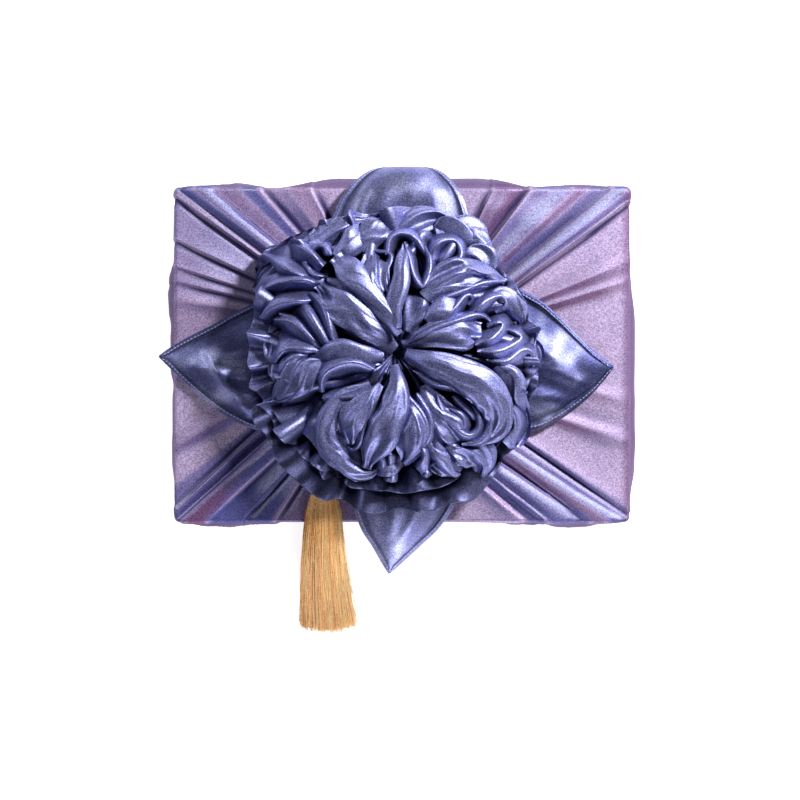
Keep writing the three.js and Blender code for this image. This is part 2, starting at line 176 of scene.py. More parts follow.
def makePiece(name, points, faces, material, uv=None, tones=None):
    mesh = bpy.data.meshes.new(name)
    points = np.asarray(points, float) * millimetre
    mesh.from_pydata(points.tolist(), [], np.asarray(faces).tolist())
    if uv is not None:
        layer = mesh.uv_layers.new(name="grain")
        loops = np.zeros(len(mesh.loops), np.int32)
        mesh.loops.foreach_get("vertex_index", loops)
        layer.data.foreach_set("uv", np.asarray(uv, np.float32)[loops].ravel())
    for tone, values in (tones or {}).items():
        attribute = mesh.attributes.new(tone, "FLOAT", "POINT")
        attribute.data.foreach_set("value", np.asarray(values, np.float32).ravel())
    mesh.polygons.foreach_set("use_smooth", [True] * len(mesh.polygons))
    mesh.update()
    mesh.materials.append(material)
    return intoScene(name, mesh)


def gridFaces(rows, columns, closed=False, start=0):
    r, c = np.indices((rows - 1, columns if closed else columns - 1))
    n = (c + 1) % columns
    corners = (r * columns + c, r * columns + n, (r + 1) * columns + n, (r + 1) * columns + c)
    return np.stack(corners, -1).reshape(-1, 4) + start


class Sheets:
    # several grids gathered into one mesh
    def __init__(self):
        self.points, self.faces, self.uv, self.tones, self.count = [], [], [], {}, 0

    def add(self, grid, uvScale=(1, 1), closed=False, **tones):
        rows, columns = grid.shape[:2]
        self.points.append(grid.reshape(-1, 3))
        self.faces.append(gridFaces(rows, columns, closed, self.count))
        ways = [np.linspace(0, scale, count) for scale, count in zip(uvScale, (rows, columns))]
        self.uv.append(np.stack(np.meshgrid(*ways, indexing="ij"), -1).reshape(-1, 2))
        for name, tone in tones.items():
            self.tones.setdefault(name, []).append(np.broadcast_to(tone, (rows, columns)).reshape(-1))
        self.count += rows * columns

    def make(self, name, material):
        tones = {tone: np.concatenate(values) for tone, values in self.tones.items()}
        return makePiece(name, np.vstack(self.points), np.vstack(self.faces), material,
                         np.vstack(self.uv), tones)


def drawTogether(first, second, goal):
    # both ends move until they are as far apart as the goal
    apart = second - first
    fix = 0.5 * (1 - goal / (lengthOf(apart) + least)) * apart
    first += fix
    second -= fix


def bow(lines):
    # how far each point lies off the line between its neighbours
    return lines[2:] + lines[:-2] - 2 * lines[1:-1]


ripples = {"waves": 7, "slant": (-8, 8), "share": 3}


def settle(grid, wide, long, hold, look, own, closed=False):
    # the cloth is cut wider and longer than the room it has, and settles into folds of its own
    across, along = [lengthOf(np.roll(grid, -1, axis) - grid) * more
                     for axis, more in ((1, wide), (0, long))]
    rows, columns = grid.shape[:2]
    turn = np.linspace(0, wholeTurn, columns)[None, :]
    run = np.linspace(0, 1, rows)[:, None]
    seed = sum(np.sin(turn * own.integers(*look["waves"]) + run * own.uniform(*ripples["slant"])
                      + own.uniform(*anyPhase)) for _ in range(ripples["waves"]))
    place = grid + normals(grid) * (seed * look["seed"] / ripples["share"])[:, :, None]
    for _ in range(look["rounds"]):
        for axis, goal in ((1, across), (0, along)):
            lines, goals = np.swapaxes(place, 0, axis), np.swapaxes(goal, 0, axis)
            for start in (0, 1):
                drawTogether(lines[start:-1:2], lines[start + 1::2], goals[start:-1:2])
            if closed and axis == 1:
                drawTogether(lines[-1:], lines[:1], goals[-1:])
        for axis, stiff in ((1, look["bend"]), (0, look["bendAlong"])):
            lines = np.swapaxes(place, 0, axis)
            if closed and axis == 1:
                lines -= stiff * bow(bow(np.concatenate([lines[-2:], lines, lines[:2]])))
            else:
                lines[2:-2] -= stiff * bow(bow(lines))
        place += look["pull"] * (grid - place)
        place += hold[:, :, None] * (grid - place)
    return place


def colour(red, green, blue):
    # from screen values to the shader's own
    return tuple(((c / 255 + 0.055) / 1.055) ** 2.4 if c > 10 else c / 255 / 12.92
                 for c in (red, green, blue)) + (1.0,)


class Shading:
    # a procedural material and the nodes that feed it, by input name or number
    def __init__(self, name, inputs):
        self.material = bpy.data.materials.new(name)
        self.material.use_nodes = True
        self.tree = self.material.node_tree
        self.place = self.node("TexCoord").outputs["Object"]
        self.finish(inputs)

    def feed(self, node, inputs):
        for socket, value in inputs.items():
            if hasattr(value, "is_linked"):
                self.tree.links.new(value, node.inputs[socket])
            else:
                node.inputs[socket].default_value = value

    def node(self, kind, inputs=None, **settings):
        made = self.tree.nodes.new("ShaderNode" + kind)
        for key, value in settings.items():
            setattr(made, key, value)
        self.feed(made, inputs or {})
        return made

    def tone(self, name):
        return self.node("Attribute", attribute_name=name).outputs["Fac"]

    def texture(self, kind, scale, stretch=(1, 1, 1), turn=0, **inputs):
        placed = self.node("Mapping", {"Vector": self.place, "Scale": stretch,
                                       "Rotation": (0, 0, math.radians(turn))})
        return self.node(kind, {"Vector": placed.outputs["Vector"], "Scale": scale, **inputs}).outputs["Fac"]

    def sums(self, value, factor, more=0.0):
        return self.node("Math", {0: value, 1: factor, 2: more}, operation="MULTIPLY_ADD").outputs[0]

    def mix(self, first, second, share, blend="MIX"):
        # a mix node has its share first and its colours as inputs 6 and 7
        made = self.node("Mix", {0: share, 6: first, 7: second}, data_type="RGBA", blend_type=blend)
        return made.outputs[2]

    def ramp(self, value, low, high, middle=None):
        made = self.node("ValToRGB", {"Fac": value})
        stops = made.color_ramp.elements
        stops[0].color, stops[1].color = low, high
        if middle:
            stops.new(0.5).color = middle
        return made.outputs["Color"]

    def bump(self, height, strength, distance):
        made = self.node("Bump", {"Height": height, "Strength": strength, "Distance": distance})
        return made.outputs["Normal"]

    def finish(self, inputs):
        self.feed(self.tree.nodes["Principled BSDF"], inputs)
        return self.material


# The lens is viewHeight over the floor, straight above aim, and sees viewWidth at the box's top
stage = {"viewHeight": 1800, "aim": (-1.3, -29.6), "viewWidth": 526.4, "sensor": 36,
         "floorHalf": 40000, "floorLevel": -0.3}
lamps = table(
    "name place size power colour",
    ("key", (790, 720, 900), 230, 27.5, (1.0, 0.99, 0.98)),
    ("left", (-900, 240, 640), 260, 3.0, (0.96, 0.97, 1.0)),
    ("front", (120, -1190, 430), 380, 9.0, (1.0, 0.99, 0.97)))
daylight = {"colour": (0.9, 0.92, 1.0, 1), "strength": 0.05}


def makeCamera():
    data = bpy.data.cameras.new("camera")
    data.sensor_width = stage["sensor"]
    data.lens = stage["sensor"] * (stage["viewHeight"] - parcelTop) / stage["viewWidth"]
    camera = intoScene("camera", data)
    camera.location = Vector((*stage["aim"], stage["viewHeight"])) * millimetre
    bpy.context.scene.camera = camera


def makeLamps():
    for lamp in lamps:
        data = bpy.data.lights.new(lamp["name"], "AREA")
        data.shape = "DISK"
        data.size = lamp["size"] * millimetre
        data.energy = lamp["power"]
        data.color = lamp["colour"]
        light = intoScene(lamp["name"], data)
        light.location = Vector(lamp["place"]) * millimetre
        aim = Vector((0, 0, parcelTop * millimetre)) - light.location
        light.rotation_euler = aim.to_track_quat("-Z", "Y").to_euler()
    world = bpy.data.worlds.new("studio")
    world.use_nodes = True
    sky = world.node_tree.nodes["Background"].inputs
    sky["Color"].default_value = daylight["colour"]
    sky["Strength"].default_value = daylight["strength"]
    bpy.context.scene.world = world
    bpy.context.scene.view_settings.view_transform = "Standard"


def makeFloor():
    paintedLight = Shading("paleFloor", {
        "Base Color": (0.86, 0.86, 0.87, 1), "Roughness": 0.9, "Specular IOR Level": 0.1,
        "Emission Color": (1, 1, 1, 1), "Emission Strength": 0.85})
    half = stage["floorHalf"]
    corners = [(x * half, y * half, stage["floorLevel"]) for x, y in ((-1, -1), (1, -1), (1, 1), (-1, 1))]
    floor = makePiece("floor", corners, [(0, 1, 2, 3)], paintedLight.material)


makeCamera()
makeLamps()
makeFloor()
print("stage: camera, lamps and floor")

# Colours of the shot satin, each laid over the one before: its face, the blue and plum threads,
# which also carry painted shade, a painted highlight and painted shade
satins = {
    "wrapSatin": {
        "face": colour(190, 170, 206), "blue": colour(80, 84, 148), "plum": colour(112, 72, 108),
        "bright": colour(176, 180, 222), "deep": colour(44, 42, 84), "roughness": 0.54,
        "metallic": 0.3, "anisotropic": 0.3, "specular": 0.15, "edge": (0.45, 0.42, 0.6, 1),
        "speckle": 1.0,
    },
    "flowerSatin": {
        "face": colour(140, 143, 198), "blue": colour(48, 54, 104), "plum": colour(118, 106, 156),
        "bright": colour(176, 180, 222), "deep": colour(22, 24, 52), "roughness": 0.44,
        "metallic": 0.78, "anisotropic": 0.4, "specular": 0.5, "edge": (0.8, 0.8, 1.0, 1),
        "speckle": 1.15,
    },
}
# how fine speckles, slubs, clouds and threads are, how much each shows, and the depth of the weave
weave = {
    "speckle": 1150, "speckled": 2, "level": 1.25, "slub": 260, "slubLong": (1, 9, 1), "slubbed": 0.5,
    "cloud": 28, "clouded": 0.5, "clear": -0.12, "dulled": 0.12,
    "thread": 520, "slant": 45, "rough": 2.0, "bump": 0.25, "depth": 0.00012,
}


def makeSatin(name):
    look = satins[name]
    satin = Shading(name, {
        "Metallic": look["metallic"], "Anisotropic": look["anisotropic"],
        "Specular IOR Level": look["specular"], "Specular Tint": look["edge"]})
    shade = look["face"]
    # the blue and plum tones also carry painted shade, and the painted highlight lies over them
    for tone in ("blue", "plum", "bright"):
        shade = satin.mix(shade, look[tone], satin.tone(tone))
    speckle = satin.texture("TexNoise", weave["speckle"], Detail=1.0)
    slub = satin.texture("TexNoise", weave["slub"], weave["slubLong"], weave["slant"])
    cloud = satin.texture("TexNoise", weave["cloud"])
    grain = satin.sums(speckle, weave["speckled"] * look["speckle"], 1 - weave["level"] * look["speckle"])
    grain = satin.sums(slub, weave["slubbed"] * look["speckle"], grain)
    shade = satin.mix(shade, grain, 1.0, "MULTIPLY")
    shade = satin.mix(shade, look["blue"], satin.sums(cloud, weave["clouded"], weave["clear"]))
    warp, weft = [satin.texture("TexWave", weave["thread"], turn=turn)
                  for turn in (weave["slant"], -weave["slant"])]
    woven = satin.sums(speckle, weave["rough"], satin.sums(warp, 1.0, weft))
    grainWay = satin.node("Tangent", direction_type="UV_MAP", uv_map="grain")
    return satin.finish({
        # painted shade darkens the colour last
        "Base Color": satin.mix(shade, look["deep"], satin.tone("deep")),
        "Roughness": satin.sums(speckle, weave["dulled"], look["roughness"] - weave["dulled"] / 2),
        "Normal": satin.bump(woven, weave["bump"], weave["depth"]),
        "Tangent": grainWay.outputs["Tangent"]})


# how fine the twist, the yarn's flecks and the board's fibres are, and how the flecks show
fineness = {"twist": 900, "fleck": 900, "flecked": 1.7, "darker": -0.76, "bump": 0.3,
            "depth": 0.0001, "fibre": 300}


def makeThread():
    thread = Shading("hemThread", {"Roughness": 0.5, "Sheen Weight": 0.2})
    twist = thread.texture("TexWave", fineness["twist"])
    return thread.finish({"Base Color": thread.ramp(twist, colour(150, 150, 200), colour(216, 216, 240))})


def makeYarn():
    yarn = Shading("goldYarn", {
        "Roughness": 0.34, "Specular IOR Level": 0.9, "Specular Tint": (1.0, 0.85, 0.6, 1),
        "Sheen Weight": 0.5, "Sheen Tint": (1.0, 0.72, 0.42, 1)})
    fleck = yarn.texture("TexNoise", fineness["fleck"], Detail=1.0)
    uneven = yarn.sums(yarn.sums(fleck, fineness["flecked"], yarn.tone("tone")), 1.0, fineness["darker"])
    return yarn.finish({
        "Base Color": yarn.ramp(uneven, colour(178, 80, 32), colour(255, 226, 160), colour(255, 182, 106)),
        "Normal": yarn.bump(fleck, fineness["bump"], fineness["depth"])})


def makeBoard():
    board = Shading("boxBoard", {"Roughness": 0.8})
    fibre = board.texture("TexNoise", fineness["fibre"])
    return board.finish({"Base Color": board.ramp(fibre, colour(196, 184, 160), colour(226, 216, 196))})


wrapSatin = makeSatin("wrapSatin")
flowerSatin = makeSatin("flowerSatin")
hemThread = makeThread()
goldYarn = makeYarn()
print("satins, thread and yarn")


wrapping = {
    "cornerRadius": 3.4, "edgeRound": 2.2, "innerRadius": 40, "neckRadius": 11, "neckRise": 28,
    "neckGather": 0.09, "foldDepth": 1.5, "sideDepth": 1.3, "topUneven": 0.16, "sideUneven": 0.35,
    "foot": 1.6, "hemLevel": 0.55, "turnedIn": 1.6, "turnedTo": (0.012, 0.03, 0.07), "overBox": 0.4,
    "stripWidth": 2.3, "beside": (-1.7, -1.1, -0.6, -0.2, 0.2, 0.6, 1.1, 1.7), "closest": 0.12,
    "neckSteps": 12, "topSteps": 74, "edgeSteps": 5, "sideSteps": 24, "grain": 300, "neckFlare": 1.6,
    "neckSteep": 2.4, "gathers": 11, "swellFrom": 0.45, "bulge": 0.72, "sideFold": (-3.5, 2.5),
}
# along a fold: how tall it starts, how much taller it grows, and where it ends past its inner point
foldRun = {"start": 0.45, "grows": 0.55, "rises": 0.5, "rise": 50, "end": 62, "before": 30, "narrows": 0.35}
# across a tuck: where its lip rises, and how deep and how far beside it the gutter is
tuck = {"lip": (-0.8, 0.9), "gutter": 0.45, "beside": 1.7}
girth = 4 * (halfLength + halfWidth)
sideMiddle = {"back": halfLength, "right": 2 * halfLength + halfWidth,
              "front": 3 * halfLength + 2 * halfWidth, "left": 4 * halfLength + 3 * halfWidth}
slopeShading = {"way": (0.74, 0.67), "strength": 1.1, "most": 0.8}       # the way to the key lamp seen from above, and how blue slopes facing away from it are painted as shade

# Folds on the top: the point on the edge, a point further in, how it lies, its height and width in
# millimetres, and the side it leans to (1 is clockwise seen from above)
topFolds = table(
    "edge inner lies height width lean",
    ((-150, 105), (-98, 57), "tuck", 2.6, 9, 1), ((-147, 110), (-82, 61), "roll", 3.4, 13, 1),
    ((-122, 110), (-72, 67), "soft", 0.6, 9, 1), ((-94, 110), (-61, 72), "tuck", 1.8, 26, -1),
    ((-60, 110), (-46, 81), "tuck", 1.9, 12, -1), ((-75, 110), (-52, 78), "soft", 0.9, 6, 1),
    ((60, 110), (46, 82), "tuck", 1.8, 10, 1), ((72, 110), (51, 78), "soft", 1.2, 5, 1),
    ((85, 110), (56, 72), "tuck", 1.9, 24, 1), ((113, 110), (64, 62), "soft", 1.5, 8, 1),
    ((138, 110), (70, 54), "roll", 3.0, 12, 1), ((150, 101), (76, 46), "tuck", 2.6, 9, -1),
    ((150, 62), (92, 44), "soft", 1.5, 5, 1), ((150, 50), (98, 38), "soft", 1.0, 4, 1),
    ((150, -57), (100, -40), "soft", 1.5, 5, 1), ((150, -30), (118, -22), "soft", 0.8, 5, 1),
    ((150, -105), (78, -55), "tuck", 1.6, 7, -1), ((149, -110), (72, -60), "roll", 2.8, 15, 1),
    ((124, -110), (64, -70), "roll", 3.0, 18, 1), ((97, -110), (57, -79), "tuck", 1.7, 12, 1),
    ((82, -110), (50, -84), "tuck", 1.9, 9, 1), ((-84, -110), (-62, -76), "tuck", 1.8, 14, 1),
    ((-106, -110), (-68, -70), "tuck", 1.8, 14, 1), ((-128, -110), (-76, -62), "roll", 2.6, 14, 1),
    ((-148, -110), (-86, -54), "tuck", 2.4, 10, -1), ((-150, -102), (-94, -50), "tuck", 1.6, 9, -1),
    ((-150, -60), (-108, -46), "soft", 1.2, 5, 1), ((-150, 36), (-112, 31), "soft", 0.9, 4, 1),
    ((-150, 48), (-105, 36), "tuck", 1.2, 7, 1), ((-150, 58), (-101, 40), "tuck", 1.4, 7, 1),
    ((-150, 76), (-98, 46), "tuck", 2.0, 12, 1))

# Colour of the shot cloth between two places on the girth, by side and millimetres from the middle
# of that side, clockwise: how blue and how plum it shows, and how far out the plum begins
shotPanels = table(
    "side from to blue plum reach",
    ("left", 76, 105, 0.5, 0.0), ("left", 105, 110, 0.3, 0.6), ("left", 40, 60, 0.3, 0.2),
    ("left", -20, 40, 0.1, 0.3), ("left", 60, 76, 0.45, 0.05), ("back", -150, -136, 0.85, 0.0),
    ("back", -136, -122, 0.85, 0.1), ("back", -122, -107, 0.45, 0.5), ("back", -107, -94, 0.9, 0.0),
    ("back", -94, -74, 0.15, 0.1), ("back", -74, -60, 0.1, 0.5), ("back", 60, 84, 0.2, 0.75),
    ("back", 85, 113, 0.7, 0.0), ("back", 113, 122, 0.3, 0.6), ("back", 122, 138, 0.75, 0.0),
    ("back", 138, 150, 0.9, 0.0), ("right", -110, -101, 0.6, 0.0), ("right", -64, -50, 0.1, 0.25),
    ("right", 98, 110, 0.6, 0.0), ("front", -150, -135, 0.85, 0.0), ("front", -135, -124, 0.1, 0.55),
    ("front", -124, -97, 0.75, 0.0), ("front", -97, -82, 0.75, 0.0), ("front", 20, 84, 0.5, 0.2),
    ("front", 84, 128, 0.95, 0.0), ("front", 128, 143, 0.3, 0.9, 160), ("front", 143, 150, 0.9, 0.0),
    ("left", -110, -84, 0.7, 0.1), ("left", -66, -50, 0.1, 0.4))

# Where the cloth stands off the sides: side, place from its middle clockwise, half width, depth
sideSwells = table(
    "side at half depth",
    ("back", 5, 100, 8.4), ("back", -108, 26, 2.6), ("back", 118, 34, 2.6), ("right", 18, 88, 5.6),
    ("front", -112, 20, 2.4), ("front", -80, 16, 2.2), ("front", 96, 22, 2.2), ("front", 124, 17, 2.6),
    ("left", 40, 26, 5.4), ("left", 2, 24, 4.4), ("left", -48, 40, 3.0))

# Folds down the sides, from the top edge to the base: place at the top and at the base, clockwise
# from the middle of the side, height and width
sideFolds = table(
    "side top base height width",
    ("back", -140, -70, 1.8, 9), ("back", -120, -96, 1.2, 7), ("back", 140, 76, 1.8, -9),
    ("right", -100, -52, 1.6, 8), ("right", 100, 40, 1.6, -8), ("front", -140, -62, 1.8, 9),
    ("front", -96, -80, 1.0, 6), ("front", 138, 70, 1.8, -9), ("left", -98, -40, 1.6, 8),
    ("left", 96, 56, 1.6, -8), ("left", 46, 34, 1.2, -7))


def girthPlace(x, y):
    # distance round the edge, clockwise from the back left corner
    if abs(y - halfWidth) < 0.5:
        return sideMiddle["back"] + x
    if abs(x - halfLength) < 0.5:
        return sideMiddle["right"] - y
    if abs(y + halfWidth) < 0.5:
        return sideMiddle["front"] - x
    return sideMiddle["left"] + y


def edgePoint(place):
    # the rounded rectangle: point and outward direction at each distance round the edge
    place = np.mod(place, girth)
    radius = wrapping["cornerRadius"]
    starts = np.array([0, 2 * halfLength, 2 * halfLength + 2 * halfWidth,
                       4 * halfLength + 2 * halfWidth, girth])
    side = np.clip(np.searchsorted(starts, place, side="right") - 1, 0, 3)
    lengths = np.diff(starts)[side]
    along = place - starts[side]
    ahead = np.array([[1, 0], [0, -1], [-1, 0], [0, 1]], float)[side]
    out = np.array([[0, 1], [1, 0], [0, -1], [-1, 0]], float)[side]
    corner = np.array([[-1, 1], [1, 1], [1, -1], [-1, -1]])[side] * np.array([halfLength, halfWidth])
    fromEnd = np.minimum(along, lengths - along)
    early = along < lengths / 2
    turn = np.clip(1 - fromEnd / radius, 0, 1) * (math.pi / 4) * np.where(early, -1, 1)
    normal = out * np.cos(turn)[:, None] + ahead * np.sin(turn)[:, None]
    centre = corner + ahead * np.where(early, radius, lengths - radius)[:, None] - out * radius
    point = np.where((fromEnd < radius)[:, None], centre + normal * radius, corner + ahead * along[:, None])
    return point, normal


def onGirth(distance):
    return np.mod(distance + girth / 2, girth) - girth / 2


def foldEnds(fold):
    edge, inner = np.array(fold["edge"], float), np.array(fold["inner"], float)
    return edge, inner - edge, np.linalg.norm(inner - edge)


def foldHeights(spots, turnAt):
    # each fold runs along the strip of cloth that starts at its place on the edge
    total = 0
    for fold in topFolds:
        edge, _, length = foldEnds(fold)
        way = unit(tie + wrapping["innerRadius"] * towards(turnAt(girthPlace(*fold["edge"]))) - edge)
        x, y = (spots - edge).T
        run = x * way[0] + y * way[1]
        off = (x * -way[1] + y * way[0]) * fold["lean"]      # to the clockwise side, seen from above
        size = foldRun["start"] + foldRun["grows"] * smoothStep(0, 0.5 * length, run)
        size = size + foldRun["rises"] * smoothStep(length, length + foldRun["rise"], run)
        size = size * (run < length + foldRun["end"]) * smoothStep(-foldRun["before"], 0, run)
        width = fold["width"] * (1 - foldRun["narrows"] * smoothStep(0, length * 1.3, run))
        if fold["lies"] == "tuck":
            shape = smoothStep(*tuck["lip"], off) * np.exp(-np.maximum(off, 0) / width)
            shape = shape - tuck["gutter"] * bell((off + tuck["beside"]) / tuck["beside"])
        elif fold["lies"] == "roll":
            shape = np.sqrt(np.clip(1 - ((off - width / 2) / (width / 2)) ** 2, 0, 1)) ** 0.9
        else:
            shape = bell(off / width)
        total = total + wrapping["foldDepth"] * fold["height"] * size * shape
    return total


def stripPlaces():
    # strips of cloth run from the edge to the gather and follow the folds, so that each is crisp
    anchors = []
    for fold in topFolds:
        edge, way, length = foldEnds(fold)
        way = way / length
        nearest = way @ (tie - edge)
        miss = np.linalg.norm(tie - edge - way * nearest)
        reach = nearest - math.sqrt(max(wrapping["innerRadius"] ** 2 - min(miss, 30) ** 2, 0))
        meet = edge + way * reach - tie
        anchors.append([girthPlace(*fold["edge"]), math.atan2(meet[1], meet[0])])
    for place in sideMiddle.values():
        point = edgePoint(np.array([place]))[0][0] - tie
        anchors.append([place, math.atan2(point[1], point[0])])
    anchors = np.array(sorted(anchors))
    anchors[:, 1] = np.unwrap(anchors[:, 1])
    if anchors[-1, 1] > anchors[0, 1]:
        anchors[:, 1] = -anchors[:, 1]
    for i in range(1, len(anchors)):
        anchors[i, 1] = min(anchors[i, 1], anchors[i - 1, 1] - 0.02)
    places = [np.arange(0, girth, wrapping["stripWidth"])]
    places += [girthPlace(*fold["edge"]) + np.array(wrapping["beside"]) for fold in topFolds]
    places = np.sort(np.mod(np.concatenate(places), girth))
    places = places[np.concatenate([[True], np.diff(places) > wrapping["closest"]])]
    knots, turns = [np.concatenate([anchors[:, k] + lap, anchors[:, k], anchors[:, k] - lap])
                    for k, lap in ((0, -girth), (1, wholeTurn))]
    return places, np.interp(places, knots, turns)


# Where the shot cloth's colour and its painted shade and light turn: from and to, in millimetres or in how
# far a slope leans
turning = {
    "panel": (-3.5, 1.5), "reach": (-40, 1), "diagonal": (0, 2500), "top": (0.75, 0.9),
    "right": (40, 80), "rightAside": (45, 65), "glint": (0.0, 0.45), "hollow": (0.15, 1.5),
    "edge": (0.05, 2.0), "below": (0.5, 6), "rightEdge": (-7, -1), "fades": (4, 40), "crease": (0.03, 0.3),
}
# and how far they turn: by slope, as painted shade and light, by place, and no further than the most
toning = {
    "shade": 2.6, "shadeFrom": 0.08, "mostShade": 0.85, "paintedLight": 1.8, "mostPale": 0.7, "nearBlue": 0.6,
    "hollow": 0.92, "fades": 0.7, "sideBlue": 0.35, "edgePlum": 0.6, "rightPlum": 0.75,
    "edgeDeep": 0.3, "sideDeep": 0.12, "creaseDeep": 0.22, "creasePale": 0.15, "mostDeep": 0.9,
}


def turned(name, value, base=0):
    low, high = turning[name]
    return smoothStep(base + low, base + high, value)


def shotColourAndPaintedLight(grid, places):
    # how blue and plum the shot cloth is by panel, with painted shade and light by slope and painted shade in
    # the creases
    blue, plum = np.zeros(grid.shape[:2]), np.zeros(grid.shape[:2])
    away = farFrom(tie, grid)
    for panel in shotPanels:
        middle = sideMiddle[panel["side"]] + (panel["from"] + panel["to"]) / 2
        half = (panel["to"] - panel["from"]) / 2
        inside = 1 - turned("panel", np.abs(onGirth(places - middle)), half)
        near = turned("reach", away, panel.get("reach", 0))
        blue = blend(blue, panel["blue"] + toning["nearBlue"] * (1 - near), inside)
        plum = blend(plum, panel["plum"] * near, inside)
    normal = unit(np.cross(np.gradient(grid, axis=0), np.roll(grid, -1, 1) - np.roll(grid, 1, 1)), least)
    normal *= np.sign(normal[40, 0, 2])
    x, y, z = np.moveaxis(grid, 2, 0)
    outX, outY, up = np.moveaxis(normal, 2, 0)
    lit = outX * slopeShading["way"][0] + outY * slopeShading["way"][1]
    # where the folds run along the way to the key lamp, the slopes across it take the painted shade
    along = turned("diagonal", (x - tie[0]) * (y - tie[1]))
    lit = lit + along * (outY * slopeShading["way"][0] - outX * slopeShading["way"][1])
    onTop = turned("top", up)
    # painted shade on slopes facing away from the key lamp, plum at the right and blue elsewhere, painted
    # light on slopes facing it, and a painted highlight where lit slopes cross blue panels
    shade = np.clip(-toning["shade"] * lit - toning["shadeFrom"], 0, toning["mostShade"]) * onTop
    paintedLight = np.clip(toning["paintedLight"] * lit, 0, toning["mostPale"]) * onTop
    toPlum = turned("right", x) * (1 - turned("rightAside", np.abs(y)))
    bright = blue * turned("glint", paintedLight)
    blue = blue * (1 - paintedLight)
    plum = plum * (1 - paintedLight)
    blue += (1 - blue) * shade * (1 - toPlum)
    plum += (1 - plum) * shade * toPlum
    # painted shade in the creases of the top, where the cloth lies below the cloth beside it
    around = sum(np.roll(z, k, 1) for k in range(-6, 7)) / 13
    deep = toning["hollow"] * turned("hollow", around - z) * onTop
    # painted shade makes the sides and the rounded edge darker, bluer down the sides and plum at the edges,
    # and the panels fade out down the sides
    drop = parcelTop - z
    onEdge, below, rightEdge = turned("edge", drop), turned("below", drop), turned("rightEdge", x, halfLength)
    keep = 1 - toning["fades"] * turned("fades", drop)
    blue = blue * keep + (1 - blue * keep) * toning["sideBlue"] * below
    onSide = np.maximum(toning["edgePlum"] * onEdge, toning["rightPlum"] * rightEdge)
    plum = plum * keep + (1 - plum * keep) * onSide
    # painted shade on one flank of each fold down the sides and painted light on the other
    flatWay = edgePoint(places)[1]
    aside = outX * -flatWay[:, 1] + outY * flatWay[:, 0]
    crease = toning["creaseDeep"] * turned("crease", aside) - toning["creasePale"] * turned("crease", -aside)
    sideDeep = toning["edgeDeep"] * onEdge + (toning["sideDeep"] + crease) * below
    deep = np.maximum(deep, np.clip(sideDeep, 0, toning["mostDeep"]))
    return {"blue": blue, "plum": plum, "deep": deep, "bright": bright}


def makeWrap():
    places, turns = stripPlaces()
    edge, out = edgePoint(places)
    inner, neck, back = wrapping["innerRadius"], wrapping["neckRadius"], wrapping["edgeRound"]
    ring = tie + inner * towards(turns)

    def turnAt(place):
        return float(np.interp(np.mod(place, girth), places, turns))

    rows = []
    # the gathered neck under the flower
    for share in np.linspace(0, 1, wrapping["neckSteps"], endpoint=False):
        radius = neck + (inner - neck) * share ** wrapping["neckFlare"]
        rise = wrapping["neckRise"] * (1 - share) ** wrapping["neckSteep"]
        gathers = np.sin(turns * wrapping["gathers"] + np.sin(turns * 3))
        gather = 1 + wrapping["neckGather"] * gathers * (1 - share)
        spot = tie + radius * gather[:, None] * towards(turns)
        rows.append(raised(spot, parcelTop + rise + foldHeights(ring, turnAt) * share ** 2))
    # the top, out to the rounded edge
    lip = edge - out * back
    for share in np.linspace(0, 1, wrapping["topSteps"]):
        spot = ring + (lip - ring) * share
        uneven = wrapping["topUneven"] * hills(spot, 3, 26) * (1 - share ** 6)
        rows.append(raised(spot, parcelTop + (foldHeights(spot, turnAt) + uneven)))
    onEdge = rows[-1][:, 2] - parcelTop
    for angle in np.linspace(0, math.pi / 2, wrapping["edgeSteps"] + 1)[1:]:
        spot = lip + out * (back * math.sin(angle) + 0.5 * onEdge * math.sin(angle))[:, None]
        rows.append(raised(spot, parcelTop - back * (1 - math.cos(angle)) + onEdge * math.cos(angle)))
    # down the sides
    swell = 0
    for row in sideSwells:
        off = np.abs(onGirth(places - (sideMiddle[row["side"]] + row["at"])))
        swell = swell + row["depth"] * (1 - smoothStep(wrapping["swellFrom"], 1, off / row["half"]))
    sideHeight = parcelTop - back - wrapping["foot"]
    for drop in np.linspace(0, 1, wrapping["sideSteps"])[1:]:
        bulge = max(math.sin(math.pi * drop ** wrapping["bulge"]), 0)
        off = swell * bulge + 0.5 * onEdge * (1 - drop) ** 1.5
        for row in sideFolds:
            at = sideMiddle[row["side"]] + row["top"] + (row["base"] - row["top"]) * drop
            lean = onGirth(places - at) * math.copysign(1, row["width"])
            shape = smoothStep(*wrapping["sideFold"], lean) * np.exp(-np.maximum(lean, 0) / abs(row["width"]))
            off += wrapping["sideDepth"] * row["height"] * shape * min(1, 3 * (1 - drop)) * min(1, 3 * drop)
        ground = np.column_stack([places, np.full_like(places, drop * 70)])
        off += wrapping["sideUneven"] * hills(ground, 5, 38) * math.sin(math.pi * drop)
        rows.append(raised(edge + out * off[:, None], parcelTop - back - sideHeight * drop))
    # turned under the base, flat on the table
    rows.append(raised(edge, wrapping["hemLevel"]))
    rows += [raised(edge * (1 - share) - out * wrapping["turnedIn"], 0.0) for share in wrapping["turnedTo"]]
    grid = np.array(rows)
    over = grid[:wrapping["neckSteps"] + wrapping["topSteps"], :, 2]
    np.maximum(over, boxHigh[2] + wrapping["overBox"], out=over)
    flat = grid.reshape(-1, 3)
    uv = np.stack([flat[:, 0] + flat[:, 1], flat[:, 1] - flat[:, 0]], 1) / wrapping["grain"]
    return makePiece("wrappedCloth", flat, gridFaces(*grid.shape[:2], closed=True), wrapSatin, uv,
                     shotColourAndPaintedLight(grid, places))


